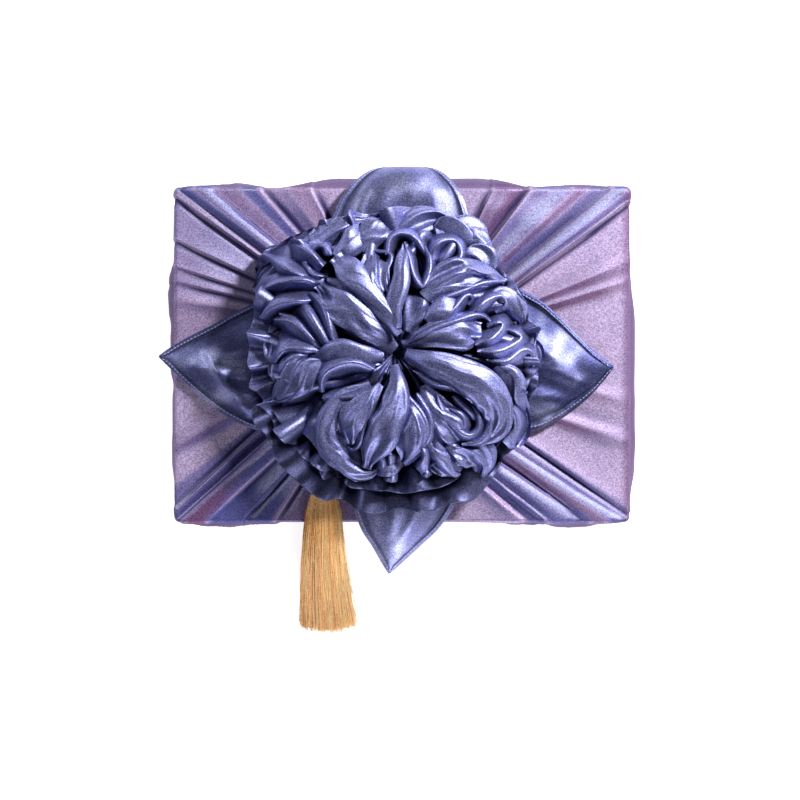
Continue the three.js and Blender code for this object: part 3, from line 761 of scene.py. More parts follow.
base = {"step": 4.0, "level": 0.35, "uneven": 0.1, "plum": 0.5, "deep": 0.3,
        "shares": (0.035, 0.06, 0.1, 0.2, 0.35, 0.5, 0.65, 0.8, 0.92, 0.985)}


def makeBase():
    # the middle of the cloth, under the box
    edge, out = edgePoint(np.arange(0, girth, base["step"]))
    rows = []
    for share in base["shares"]:
        spot = edge * (1 - share) - out * wrapping["turnedIn"]
        rows.append(raised(spot, base["level"] + base["uneven"] * np.abs(hills(spot, 8, 40))))
    sheets = Sheets()
    # plum, darkened by painted shade under the box
    sheets.add(np.array(rows), uvScale=(1, 4), closed=True, plum=base["plum"], deep=base["deep"])
    return sheets.make("clothBase", wrapSatin)


clothBase = makeBase()
wrappedCloth = makeWrap()
print("wrapped cloth:", len(wrappedCloth.data.polygons), "faces")


def paintedSlopeShade(grid):
    # painted shade: slopes that face away from the key lamp are painted blue
    up = normals(grid)
    up *= np.sign(np.median(up[:, :, 2]))
    facing = up[:, :, 0] * slopeShading["way"][0] + up[:, :, 1] * slopeShading["way"][1]
    return np.clip(-slopeShading["strength"] * facing, 0, slopeShading["most"])


flower = {"centre": np.array([-5.0, 1.0]), "radius": 100, "low": 12, "crown": 40, "dip": 10,
          "dipWidth": 12, "grain": 60}
leafCut = {
    "steps": 70, "across": 20, "narrowest": 0.5, "hem": 3.4, "hemEnd": 0.5, "hemHeight": 0.75,
    "groove": 0.22, "grooveWidth": 0.35, "creaseDepth": 1.5, "creaseSway": 2, "uneven": 0.35,
    "besideHem": 0.55, "underFlower": 0.75, "flowerEdge": (80, 100), "glintWander": 6,
    "stitch": 1.6, "stitchGap": 0.9, "stitchIn": 2.5, "stitchWidth": 0.32, "stitchUp": 0.08,
    "firstStitch": 30, "lastStitch": 3, "stitchSides": 6, "stitchSizes": (0.35, 1.0, 0.35),
    # places in from the edge, more of them where the hem is stitched and ends
    "places": [0.0, 0.35, 0.8, 1.5, 2.2, 2.5, 2.8, 3.2, 3.5, 4.0],
    # the hem's turned edge: how far in it runs and how far it drops
    "turned": [(2.6, 0.85), (1.3, 0.9), (0.0, 0.7)],
}
turnedRows = len(leafCut["turned"])
seamColumn = turnedRows + leafCut["places"].index(leafCut["stitchIn"])

# Sections from the gather to the tip: reach from the tie, sideways shift to the left of the
# heading, half width, height of the hem over the box's top, and the rise of the middle over it.
# Creases run between two places, each its reach and sideways place. Glints are painted highlights,
# each at its reach and sideways place. Shade is painted shade, how blue the whole leaf is, and
# slope shading how blue its slopes that face away from the key lamp are painted.
sectionColumns = "reach shift half height rise"
creaseColumns = "from to height width"
glintColumns = "at long wide strength"
leaves = {
    "leafLeft": {
        "heading": 180, "shade": 0.7, "slopeShading": 0.8,
        "sections": table(
            sectionColumns, (30, 5, 24, 9, 5), (70, 10, 42, 7, 8), (88, 9.5, 42.5, 5, 9),
            (104, 9.5, 36, 3.5, 9), (119, 9, 27, 3, 8), (136, 6, 15.5, 3, 5.5), (147, 4, 7, 4, 2),
            (154.5, 3, 0.6, 4, 0)),
        "creases": table(
            creaseColumns, ((80, 2), (134, 3), 3.0, 4), ((80, 17), (124, 11), 2.4, 3.5),
            ((80, -14), (128, -6), 2.2, 4), ((84, 30), (112, 22), 1.8, 4),
            ((98, 26), (126, -12), 3.4, 6)),
        "glints": table(
            glintColumns, ((114, -2), 12, 6, 1.0), ((119, 21), 14, 5, 0.9), ((136, -2), 10, 5, 0.6)),
    },
    "leafRight": {
        "heading": 0, "shade": 0.8, "slopeShading": 1.0,
        "sections": table(
            sectionColumns, (30, -4, 24, 9, 5), (70, -4, 46, 8, 6), (91, -7.5, 44, 6, 4),
            (106, -10, 35, 5, 3.5), (116, -11.5, 27, 4, 3), (129, -13, 15.5, 2.6, 3),
            (138, -11.5, 7, 2.6, 1.5), (144, -10, 0.6, 2.8, 0)),
        "creases": table(
            creaseColumns, ((76, 16), (120, -2), 2.6, 5), ((80, -2), (130, -9), 2.2, 4),
            ((80, -26), (118, -20), 2.4, 4), ((80, -38), (104, -34), 1.8, 3)),
        "glints": table(
            glintColumns, ((109, 14), 9, 12, 0.6), ((100, -31), 14, 5, 0.6), ((122, -7), 8, 4, 0.3)),
    },
    "leafFront": {
        "heading": 270, "shade": 0.0, "slopeShading": 0.1,
        "sections": table(
            sectionColumns, (30, 5, 20, 9, 4), (84, 6.5, 36.5, 9, 6), (100, 6, 33.5, 7.5, 8),
            (116, 3.5, 25.5, 4, 8), (128, 1, 15.5, 1, 6), (138, -1.5, 7.5, -1.5, 3),
            (146, -3.5, 0.6, -4, 0)),
        "creases": table(
            creaseColumns, ((84, 12), (130, 2), 2.4, 5), ((84, -10), (124, -4), 1.8, 4)),
        "glints": table(
            glintColumns, ((127, 0), 10, 7, 0.75), ((98, 12), 8, 12, 0.6), ((114, -16), 8, 4, 0.7)),
    },
    "leafBack": {
        "heading": 90, "shade": 0.35, "slopeShading": 1.0,
        "sections": table(
            sectionColumns, (30, -4, 24, 9, 5), (76, -4, 45, 8, 7), (92, -4.5, 43.5, 8, 7),
            (106, -5.5, 37, 6.5, 8.5), (117, -6.5, 27, 0, 10), (122, -7, 18, -9, 9),
            (122.5, -7.5, 9, -19, 5), (122, -8, 0.6, -28, 0)),
        "creases": table(
            creaseColumns, ((74, 30), (116, 22), 3.0, 4), ((76, 14), (112, 12), 1.4, 6),
            ((74, -28), (112, -20), 1.8, 5)),
        "glints": table(
            glintColumns, ((100, 24), 8, 6, 0.9), ((108, -1), 6, 16, 0.7), ((94, -36), 8, 5, 0.6)),
    },
}


def creaseHeights(leaf, reach, place):
    total = 0
    for row in leaf["creases"]:
        (startReach, start), (endReach, end) = row["from"], row["to"]
        run = (reach - startReach) / (endReach - startReach)
        aim = start + (end - start) * run + leafCut["creaseSway"] * math.sin(run * 4)
        strength = math.sin(math.pi * min(max(0.15 + 0.85 * run, 0), 1))
        near = 1 + ((place - aim) / row["width"]) ** 2
        total = total + leafCut["creaseDepth"] * row["height"] * strength / near
    return total


def makeLeaf(name, leaf):
    line = throughPoints([list(row.values()) for row in leaf["sections"]], leafCut["steps"])
    reach, shift, half, height, rise = line.T
    half = np.maximum(half, leafCut["narrowest"])
    heading = math.radians(leaf["heading"])
    ahead = np.array([math.cos(heading), math.sin(heading)])
    aside = np.array([-ahead[1], ahead[0]])
    places = np.array(leafCut["places"])
    inner = np.linspace(0, 1, leafCut["across"] + 2)[1:-1]
    hem = leafCut["hem"]
    grid = []
    for i in range(leafCut["steps"]):
        shrink = min(1, half[i] / (places[-1] + 1.0))
        left = -half[i] + places * shrink
        middle = left[-1] + (2 * (half[i] - places[-1] * shrink)) * inner
        place = np.concatenate([left, middle, -left[::-1]])
        fromEdge = half[i] - np.abs(place)
        dome = rise[i] * (1 - np.abs(place / half[i]) ** 2.2)
        hemLift = 1 - smoothStep(hem * shrink, (hem + leafCut["hemEnd"]) * shrink, fromEdge)
        groove = bell((fromEdge - leafCut["stitchIn"] * shrink) / leafCut["grooveWidth"])
        spot = tie + ahead * reach[i] + aside * (shift[i] + place)[:, None]
        z = parcelTop + height[i] + dome + leafCut["hemHeight"] * hemLift - leafCut["groove"] * groove \
            + creaseHeights(leaf, reach[i], place) + leafCut["uneven"] * hills(spot, 11, 30)
        body = raised(spot, z)
        left, right = [[np.append(end[:2] + way * min(share, half[i] * 0.8), end[2] - drop)
                        for share, drop in leafCut["turned"]]
                       for end, way in ((body[0], aside), (body[-1], -aside))]
        grid.append(np.vstack([left, body, right[::-1]]))
    grid = np.array(grid)
    # painted shade beside the hem's inner edge and a painted shadow where the flower shades the leaf
    beside = np.zeros(grid.shape[:2])
    hemEnds = turnedRows + len(places)
    for column in range(hemEnds - 2, hemEnds + 1):
        beside[:, [column, -1 - column]] = leafCut["besideHem"]
    clear = smoothStep(*leafCut["flowerEdge"], farFrom(flower["centre"], grid))
    shaded = leafCut["underFlower"] * (1 - clear)
    # the glints are painted highlights, their edges wandering a little
    along = (grid[:, :, :2] - tie) @ ahead
    across = (grid[:, :, :2] - tie) @ aside - shift[:, None]
    wander = leafCut["glintWander"] * hills(grid, 17, 16)
    bright = sum(row["strength"] * np.exp(-((along - row["at"][0] + wander) / row["long"]) ** 2
                                          - ((across - row["at"][1] - wander) / row["wide"]) ** 2)
                 for row in leaf["glints"])
    sheets = Sheets()
    # painted shade: the leaf's shade and its slopes facing away from the key lamp are painted blue
    sheets.add(grid, uvScale=(1.5, 1.0), deep=np.maximum(beside, shaded), bright=bright,
               blue=np.maximum(leaf["slopeShading"] * paintedSlopeShade(grid), leaf["shade"]) * (1 - bright))
    return sheets.make(name, flowerSatin), makeStitches(name + "Stitches", grid)


def makeStitches(name, grid):
    # stitches along the hem, both edges in one run
    seams = Sheets()
    for path in (grid[:, seamColumn], grid[:, -1 - seamColumn]):
        run = runAlong(path)
        last = run[-1] - leafCut["lastStitch"]
        for start in np.arange(leafCut["firstStitch"], last, leafCut["stitch"] + leafCut["stitchGap"]):
            spots = readOff(start + np.array([0, 0.5, 1]) * leafCut["stitch"], run, path)
            way = unit(spots[2] - spots[0])
            sidewise = unit(np.cross(way, [0, 0, 1]))
            up = np.cross(sidewise, way)
            spokes = [sidewise * math.cos(turn) + up * math.sin(turn)
                      for turn in headings(leafCut["stitchSides"])]
            rings = [[spot + up * leafCut["stitchUp"] + leafCut["stitchWidth"] * size * spoke
                      for spoke in spokes] for spot, size in zip(spots, leafCut["stitchSizes"])]
            seams.add(np.array(rings), closed=True)
    return seams.make(name, hemThread)


leafPieces = {name: makeLeaf(name, leaf) for name, leaf in leaves.items()}
print("leaves:", ", ".join(leafPieces))


# Each petal is a fold of cloth: its path seen from above, half width along it, lift over the
# flower's dome, how high it arches and how much fuller than its room it is cut. A crest is a
# sharp fold whose flanks run out into its neighbours. The others are puffed, and the smooth ones
# have the shallower pleats.
petals = table(
    "kind path half lift arch full",
    # up from the middle
    ("smooth", [(-5, 2), (-18, 13), (-34, 30), (-52, 46)], [5, 11, 13, 10], [2, 4, 4], 0.55, 1.12),
    ("smooth", [(-2, 12), (-12, 27), (-26, 44), (-42, 62)], [3, 6, 8, 9], [6, 8, 8], 0.8, 1.1),
    ("crest", [(-44, 64), (-50, 71), (-59, 68), (-62, 59), (-57, 50), (-48, 49)],
     [3, 4, 3.4, 3, 3], [8, 6, 2], 1.0, 1.1),
    ("puff", [(-6, 20), (-14, 36), (-19, 52), (-20, 63)], [3, 7, 9, 8], [4, 5, 5], 0.6, 1.2),
    ("crest", [(-3, 20), (-9, 36), (-11, 50), (-7, 63), (-17, 66)],
     [1.5, 2, 2, 1.8, 1.4], [8, 10, 9], 1.0, 1.0),
    ("puff", [(-3, 16), (-5, 30), (-1, 46), (0, 60), (2, 70)], [3, 5, 5.5, 4, 3], [7, 9, 8], 0.8, 1.1),
    ("crest", [(3, 72), (6, 60), (8, 49), (13, 42), (18, 50), (19, 61), (13, 72)],
     [1.8, 2, 2.2, 2.4, 2.2, 2, 1.8], [9, 10, 9], 1.0, 1.05),
    ("crest", [(-8, 63), (-6, 72), (2, 76), (11, 73), (17, 64)], [2, 3, 3.2, 3, 2], [7, 8, 7], 0.9, 1.15),
    ("smooth", [(3, 14), (8, 26), (14, 38)], [4, 9, 9], [1, 1], 0.4, 1.2),
    ("crest", [(20, 58), (22, 68), (29, 73), (36, 71), (39, 63), (34, 56), (27, 58)],
     [3, 4, 4, 3.6, 3, 2.4, 2], [6, 8, 8], 0.9, 1.3),
    ("puff", [(14, 36), (26, 47), (42, 52), (56, 50), (66, 46)], [5, 9, 8, 7, 5], [4, 6, 4], 0.6, 1.3),
    ("crest", [(18, 34), (30, 38), (42, 41), (54, 44), (66, 46)],
     [1.5, 2.4, 2.4, 2.2, 1.6], [7, 9, 8], 1.0, 1.1),
    # to the right
    ("puff", [(16, 20), (26, 28), (36, 34)], [4, 6, 5], [3, 4], 0.7, 1.4),
    ("crest", [(24, 18), (34, 28), (41, 38), (46, 36), (43, 31)],
     [2.5, 3.4, 3, 2.4, 2], [5, 7, 7], 0.9, 1.3),
    ("crest", [(42, 24), (52, 33), (62, 38), (67, 31), (60, 27)], [3, 4, 3.4, 3, 2.4], [5, 7, 6], 0.9, 1.3),
    ("smooth", [(0, 6), (16, 11), (32, 13), (50, 13)], [3, 8, 11.5, 11], [3, 5, 4], 0.35, 1.08),
    ("crest", [(2, 7), (18, 17), (34, 22), (50, 25), (57, 20)],
     [1.4, 2.2, 2.6, 2.4, 1.8], [7, 10, 8], 0.9, 1.15),
    ("crest", [(46, 8), (58, 12), (66, 18), (61, 23), (54, 19)],
     [3.5, 4.4, 4, 3, 2.2], [6, 8, 8], 0.9, 1.3),
    ("crest", [(48, 3), (62, 3), (74, 7), (78, 11), (73, 15), (66, 17)],
     [3.4, 4.4, 4, 3.4, 3, 2], [5, 7, 6], 0.9, 1.4),
    # the big arc and the spiral in it
    ("smooth", [(2, 0), (16, -5), (34, -12), (50, -21), (60, -34), (60, -48), (49, -57)],
     [4, 8, 10, 10.5, 9.5, 8, 5], [7, 9, 10, 9, 7], 0.65, 1.1),
    ("crest", [(8, -9), (20, -16), (36, -21), (49, -30), (54, -42), (50, -53), (38, -57)],
     [2, 3, 3.2, 3.4, 3.4, 3.4, 3], [8, 9, 10, 8], 1.0, 1.1),
    ("crest", [(23, -24), (26, -36), (34, -47), (43, -53), (50, -47), (49, -37), (41, -29)],
     [2, 3, 3.2, 3.4, 3.2, 3, 2], [6, 8, 8], 1.0, 1.1),
    ("crest", [(30, -37), (37, -39), (42, -46), (41, -51)], [2, 2.8, 2.8, 2], [7, 9], 1.0, 1.1),
    ("crest", [(33, -26), (41, -33), (46, -42)], [2.4, 3.2, 2.4], [6, 8], 0.9, 1.2),
    ("smooth", [(14, -20), (22, -36), (32, -50), (40, -58)], [4, 8, 11, 8], [2, 3], 0.5, 1.3),
    # down
    ("smooth", [(-5, -7), (-3, -22), (-6, -38), (-13, -52), (-19, -63), (-23, -73)],
     [3, 7, 9, 10, 9, 6], [6, 9, 9, 6], 0.6, 1.15),
    ("puff", [(3, -28), (7, -40), (7, -52), (5, -64), (1, -70)], [3, 7, 8.5, 7, 4], [6, 8, 6], 0.7, 1.2),
    ("crest", [(8, -29), (4, -42), (-2, -54), (-6, -55)], [1.4, 2.2, 2.2, 1.5], [9, 11, 9], 1.0, 1.0),
    ("crest", [(8, -26), (15, -38), (18, -50), (14, -62)], [2.5, 3.4, 3.4, 2.5], [5, 7, 6], 0.9, 1.1),
    ("puff", [(-13, -20), (-23, -32), (-31, -44), (-31, -58)], [3.5, 7, 8, 6], [4, 6, 5], 0.6, 1.3),
    ("crest", [(-17, -21), (-19, -35), (-25, -49), (-29, -60), (-34, -59)],
     [1.6, 2.4, 2.4, 2.2, 1.5], [8, 10, 8], 1.0, 1.1),
    ("puff", [(-20, -20), (-37, -29), (-45, -42), (-44, -56), (-36, -68), (-24, -76), (-13, -71)],
     [3, 6.5, 7.5, 8, 8, 7, 4], [2, 3, 2], 0.65, 1.2),
    # to the left
    ("crest", [(-18, -11), (-30, -7), (-42, -8), (-51, -14), (-52, -24)],
     [2.5, 4.2, 5, 4.4, 3], [7, 9, 7], 0.9, 1.1),
    ("smooth", [(-12, -3), (-28, -1), (-44, 0), (-56, -3)], [4, 7, 7, 5], [4, 5, 4], 0.6, 1.2),
    ("crest", [(-20, -20), (-34, -26), (-50, -29)], [2.5, 3.6, 3], [4, 5], 0.9, 1.2),
    ("puff", [(-48, -8), (-62, -13), (-74, -22), (-84, -31)], [5, 9.5, 9, 3], [3, 3], 0.5, 1.25),
    ("crest", [(-60, -3), (-70, -4), (-78, -9), (-75, -16)], [3, 4, 3.4, 2.4], [6, 5], 0.9, 1.2),
    ("crest", [(-45, 4), (-50, 13), (-59, 25), (-66, 33)], [3, 4, 4.4, 3.4], [6, 8, 6], 0.9, 1.2),
    ("crest", [(-42, 7), (-46, 18), (-52, 30), (-59, 38)], [2.5, 3.8, 4, 3], [7, 9, 7], 0.9, 1.2),
    ("crest", [(-52, 2), (-62, 12), (-72, 20), (-82, 22)], [3, 4.4, 4.4, 3], [4, 5, 4], 0.9, 1.2),
    # round the rim, at the left
    ("crest", [(-52, 2), (-64, 5), (-77, 3), (-82, -6)], [3.4, 5, 5, 3.4], [3, 4, 3], 0.8, 1.4),
    ("crest", [(-56, 36), (-68, 35), (-80, 30), (-90, 22)], [4, 6, 6, 4], [4, 5, 4], 0.8, 1.3),
    ("crest", [(-54, 44), (-68, 46), (-82, 44), (-94, 38)], [4, 6, 6, 4], [4, 5, 4], 0.8, 1.3),
    ("crest", [(-52, 54), (-64, 64), (-74, 73)], [5, 7, 5], [4, 4], 0.8, 1.3),
    ("crest", [(-56, 49), (-70, 54), (-82, 58), (-92, 64)], [4, 7, 7, 5], [3, 5, 3], 0.8, 1.3),
    # at the top
    ("puff", [(-62, 70), (-48, 76), (-34, 82), (-22, 86)], [5, 8, 7, 4], [1, 2, 2], 0.6, 1.4),
    ("puff", [(-42, 62), (-34, 70), (-26, 82)], [5, 7, 6], [4, 4], 0.7, 1.4),
    ("puff", [(-26, 66), (-18, 76), (-8, 86)], [5, 8, 6], [2, 2], 0.6, 1.4),
    ("puff", [(-4, 78), (8, 84), (20, 86), (32, 80)], [5, 8, 7, 5], [1, 2], 0.5, 1.4),
    ("puff", [(22, 78), (36, 80), (48, 72), (58, 60)], [5, 7, 8, 6], [2, 3, 2], 0.6, 1.4),
    ("puff", [(40, 62), (50, 62), (60, 54)], [5, 7, 5], [4, 4], 0.7, 1.4),
    # at the right
    ("puff", [(56, 34), (66, 36), (74, 28), (78, 20)], [5, 7, 6, 4], [2, 2], 0.6, 1.4),
    ("crest", [(54, -3), (66, -4), (75, 1), (83, 1), (84, -8)], [3, 4, 4, 3.6, 2.6], [4, 4, 3], 0.9, 1.4),
    ("puff", [(60, -8), (68, -17), (75, -28), (81, -36)], [5, 7, 7, 4], [3, 3, 1], 0.6, 1.4),
    ("crest", [(64, -30), (71, -38), (73, -50), (66, -57)], [3, 3.6, 3.6, 3], [4, 3], 0.9, 1.4),
    # and at the bottom
    ("puff", [(30, -56), (42, -62), (52, -70), (50, -80)], [6, 9, 9, 6], [1, 1], 0.5, 1.4),
    ("puff", [(16, -58), (20, -66), (30, -72), (38, -76)], [4, 6, 6, 4], [3, 2], 0.7, 1.4),
    ("crest", [(-6, -62), (-9, -72)], [3, 2.6], [5, 4], 1.0, 1.4),
    ("crest", [(-12, -60), (-15, -74)], [2.6, 3], [6, 4], 1.0, 1.4),
    ("crest", [(11, -58), (15, -68), (10, -74)], [3, 3.4, 3], [5, 4], 1.0, 1.4))


def domeHeight(spots):
    away = farFrom(flower["centre"], spots)
    level = np.sqrt(np.clip(1 - (away / flower["radius"]) ** 2, 0, 1))
    dip = flower["dip"] * bell(away / flower["dipWidth"])
    return parcelTop + flower["low"] + flower["crown"] * level - dip


petalCut = {
    "step": 2.5, "finer": 3, "long": 1.03, "widen": 1.14, "wrapRound": 1.45, "crestSpread": 2.5,
    "crestFoot": -3.0, "crestEdge": 0.9, "foldWidth": 6.2, "foldDepth": 0.34, "scrunch": 0.1,
    "pleatWidth": 7.5, "pleatDepth": 0.34, "mostPleat": 3.4, "pleated": {"smooth": 0.15, "puff": 0.5},
    "crestPleats": 3.0, "holdStart": 0.9, "holdCrest": 0.5, "tip": 0.25, "bluntest": 0.3, "root": 0.8,
    "skew": (0.2, 0.6), "crestSkew": 0.45, "crestLift": 0.75, "lean": 0.35, "tuckUnder": 6,
}
# How petals, frills and the heart settle: rounds, the waves they start with and how high, how stiff
# they are across and along, and the pull back to their place
petalSettling, frillSettling, heartSettling = table(
    "rounds waves seed bend bendAlong pull",
    (50, (1, 4), 0.5, 0.03, 0.03, 0.01), (60, (5, 22), 1.2, 0.06, 0.05, 0.006),
    (60, (9, 30), 1.0, 0.06, 0.05, 0.006))


def folds(across, along, count, own):
    # rounded ridges with pinched creases between them, wandering along the petal
    wander = 0.16 * np.sin(along * own.uniform(2, 5) + own.uniform(0, 6)) \
        + 0.07 * np.sin(along * own.uniform(6, 11) + own.uniform(0, 6))
    uneven = 0.22 * np.sin(across * own.uniform(1.5, 3) + own.uniform(0, 6))
    phase = math.pi * count * 0.5 * (across + wander + uneven) + own.uniform(0, 3)
    return np.abs(np.sin(phase)) ** 0.65


# Pleats: how far they run askew, wander and waver, how shallow the least is, where on its way the
# cloth drops, how it bows up to there, the level they lie round, and the most there can be
pleat = {"askew": 0.5, "wander": 0.35, "waver": 0.1, "shallowest": 0.15, "steep": 0.86, "bow": 1.6,
         "level": 0.35, "most": 40}


def pleats(across, along, count, own):
    # folds that rise slowly and drop steeply, each of its own depth, running slightly askew
    wander = pleat["wander"] * np.sin(along * own.uniform(1.5, 4) + own.uniform(0, 6)) \
        + own.uniform(-pleat["askew"], pleat["askew"]) * along \
        + pleat["waver"] * np.sin(along * own.uniform(7, 12) + own.uniform(0, 6))
    phase = count * (across + 1) / 2 + wander + 4
    which = np.floor(phase).astype(int)
    part = phase - which
    depth = own.uniform(pleat["shallowest"], 1.0, pleat["most"])[which]
    rise = np.clip(part / pleat["steep"], 0, 1) ** pleat["bow"] * (1 - smoothStep(pleat["steep"], 1.0, part))
    return depth * (rise - pleat["level"])


def acrossPetal(half, widths):
    # an odd number of places from one side of the petal to the other
    return np.linspace(-1, 1, max(9, int(widths * half.max() / petalCut["step"] * 1.3)) | 1)[None, :]


def makePetal(row, own):
    crest = row["kind"] == "crest"
    path = np.array(row["path"], float)
    length = runAlong(path)[-1]
    steps = max(8, int(length / petalCut["step"]))
    line = throughPoints(path, steps)
    way = unit(np.gradient(line, axis=0))
    aside = np.stack([-way[:, 1], way[:, 0]], 1)
    half, lift = spread(row["half"], steps), spread(row["lift"], steps)
    along = np.linspace(0, 1, steps)
    near = np.clip((along - (1 - petalCut["tip"])) / petalCut["tip"], 0, 1)
    ends = np.sqrt(np.clip(1 - near ** 2, petalCut["bluntest"], 1))
    starts = petalCut["root"] + 0.2 * smoothStep(0, 0.2, along)
    room = (petalCut["widen"] * half * ends * starts)[:, None]
    skew = own.uniform(*petalCut["skew"]) * own.choice([-1, 1]) * np.cos(along * own.uniform(1, 4))
    skew = skew[:, None]
    if crest:
        across = acrossPetal(half, 2 * petalCut["crestSpread"])
        profile = (1 - np.sqrt(across ** 2 + 0.012)) ** 2 / 0.79
        tall = (petalCut["crestLift"] * lift * ends)[:, None] + room * row["arch"] - petalCut["crestFoot"]
        sideways = room * petalCut["crestSpread"] * across + skew * petalCut["crestSkew"] * tall * profile
        upward = petalCut["crestFoot"] + tall * profile
    else:
        lean = acrossPetal(half, 3) * petalCut["wrapRound"]
        sway = own.uniform(-petalCut["lean"], petalCut["lean"])
        angle = lean + (sway * np.sin(along * 3 + own.uniform(0, 6)))[:, None]
        across = lean / petalCut["wrapRound"]
        run = along[:, None] * length / 12
        ridges = folds(across, run / 3, max(2, half.max() * 2 / petalCut["foldWidth"]), own)
        scrunch = folds(across, run, max(3, half.max() * 3 / petalCut["foldWidth"]), own)
        loose = min(1, 0.3 + (row["full"] - 1) / 0.35)
        depth = petalCut["foldDepth"] * loose * smoothStep(0.0, 0.35, along)[:, None]
        depth = depth * (0.7 + 0.3 * np.sin(run + own.uniform(0, 6)))
        radius = 1 + depth * (ridges - 0.75)
        radius = radius + petalCut["scrunch"] * loose * along[:, None] * (scrunch - 0.75)
        sideways = room * (np.sin(angle) * radius + skew * (np.cos(angle) - 0.2))
        upward = room * row["arch"] * np.sign(np.cos(angle)) * np.abs(np.cos(angle)) ** 0.75 * radius
        upward = upward + room * 0.5 * (radius - 1) + lift[:, None] \
            - petalCut["tuckUnder"] * (1 - ends)[:, None]
    spots = line[:, None] + aside[:, None] * sideways[:, :, None]
    grid = np.dstack([spots, domeHeight(line)[:, None] + upward])
    hold = np.zeros(grid.shape[:2])
    hold[along < 0.05] = petalCut["holdStart"]
    if crest:
        hold[:, [0, -1]] = petalCut["holdCrest"]
    wide = 1 + (row["full"] - 1) * smoothStep(0.0, 0.3, along)[:, None, None]
    grid = settle(grid, wide, petalCut["long"], hold, petalSettling, own)
    grid = finer(grid, petalCut["finer"])
    up = normals(grid)
    up *= np.sign(up[:, grid.shape[1] // 2:grid.shape[1] // 2 + 1, 2:3])
    thick = np.interp(np.linspace(0, 1, grid.shape[0]), along, half)[:, None]
    along = np.linspace(0, 1, grid.shape[0])[:, None]
    across = own.choice([-1, 1]) * np.linspace(-1, 1, grid.shape[1])[None, :]
    if crest:
        edge = petalCut["crestEdge"]
        lines = edge * np.exp(-np.abs(across) * thick * petalCut["crestSpread"] / edge)
        soft = pleats(across, along * length / 30, petalCut["crestPleats"], own)
        lines = lines + soft * np.minimum(0.2 * thick, 1.0)
    else:
        count = max(2.0, 3.2 * half.max() / petalCut["pleatWidth"])
        lines = pleats(across, along * length / 40, count, own)
        lines = lines * np.minimum(petalCut["pleatDepth"] * thick, petalCut["mostPleat"])
        lines = lines * petalCut["pleated"][row["kind"]]
    return grid + up * (lines * smoothStep(0.0, 0.25, along))[:, :, None], length


# Where the cloth sinks away between the petals
hollows = table(
    "at radius depth",
    ((-53, 58), 8, 17), ((12, 59), 6, 11), ((-37, -25), 9, 9), ((65, -48), 8, 14), ((-70, -45), 11, 15))

# Frills of gathered cloth under the petals: reach by heading, from the right and anticlockwise,
# heights of rim and root over the box, the share of the reach it starts from, its rows, number and
# depth of the waves, how much fuller than its room it is cut, and how much in shade
frills = table(
    "reach rim root from rows waves depth full seed shade",
    ([91, 87, 85, 89, 92, 88, 87, 99, 103, 101, 104, 93], 20, 9, 0.1, 22, 13, 7.0, 1.35, 4, 0.5),
    ([80, 78, 77, 82, 84, 80, 80, 84, 90, 88, 90, 83], 29, 20, 0.3, 16, 12, 7.0, 1.45, 5, 0.35),
    ([92, 88, 89, 91, 94, 94, 93, 91, 86, 79, 78, 86], 33, 30, 0.62, 11, 23, 8.0, 1.75, 8, 0.12))
# the rim is a fold, the cloth turns under and runs back: steps outward and down
frillCut = {"around": 160, "finer": 3, "long": 1.03, "overLeaf": 0.8, "uneven": (0.35, 1.7),
            "taller": (0.5, 1.2), "wavesFrom": 0.55, "outward": 0.35, "lean": 0.05, "held": 0.1, "hold": 0.9,
            "turned": [(0.5, 0.3), (0.5, 1.0), (-0.4, 1.6), (-4, 2.6), (-9, 3.4)]}


def makeFrill(row):
    own = np.random.default_rng(row["seed"])
    heading = headings(frillCut["around"])
    knots = np.append(row["reach"], row["reach"][0])
    reach = np.interp(heading, np.linspace(0, wholeTurn, len(knots)), knots)
    widths = own.uniform(*frillCut["uneven"], row["waves"])
    borders = np.concatenate([[0], np.cumsum(widths)]) * 2 * math.pi / widths.sum()
    which = np.clip(np.searchsorted(borders, heading, side="right") - 1, 0, row["waves"] - 1)
    part = (heading - borders[which]) / np.diff(borders)[which]
    tall = (widths[which] ** 0.5) * own.uniform(*frillCut["taller"], row["waves"])[which] * row["depth"]
    wave = tall * (np.sin(part * math.pi) ** 0.7 - 0.5)
    lean = frillCut["lean"] * np.sin(heading * 4 + row["seed"])
    rows = []
    for share in np.linspace(row["from"], 1, row["rows"]):
        grow = smoothStep(frillCut["wavesFrom"], 1, share)
        radius = reach * share + frillCut["outward"] * wave * grow
        z = parcelTop + row["root"] + (row["rim"] - row["root"]) * math.sin(share * 2.0) + wave * grow
        spots = flower["centre"] + radius[:, None] * towards(heading + lean * grow)
        rows.append(raised(spots, z))
    grid = np.array(rows)
    share = np.linspace(0, 1, len(rows))
    hold = np.repeat((frillCut["hold"] * (share < frillCut["held"]))[:, None], grid.shape[1], axis=1)
    wide = 1 + (row["full"] - 1) * smoothStep(0.2, 1, share)[:, None, None]
    grid = settle(grid, wide, frillCut["long"], hold, frillSettling, own, closed=True)
    grid = finer(grid, frillCut["finer"], closed=True)
    out = unit(grid[-1] - grid[-3])
    turned = [grid[-1] + out * outward + np.array([0, 0, -drop]) for outward, drop in frillCut["turned"]]
    return np.vstack([grid, turned])


heart = {"radius": 78, "rows": 30, "around": 150, "lower": -1.0, "gathers": 17, "wave": 2.6,
         "full": 1.6, "long": 1.05, "finer": 3, "start": 0.015, "twist": 0.5, "heldRows": 2, "hold": 0.9}


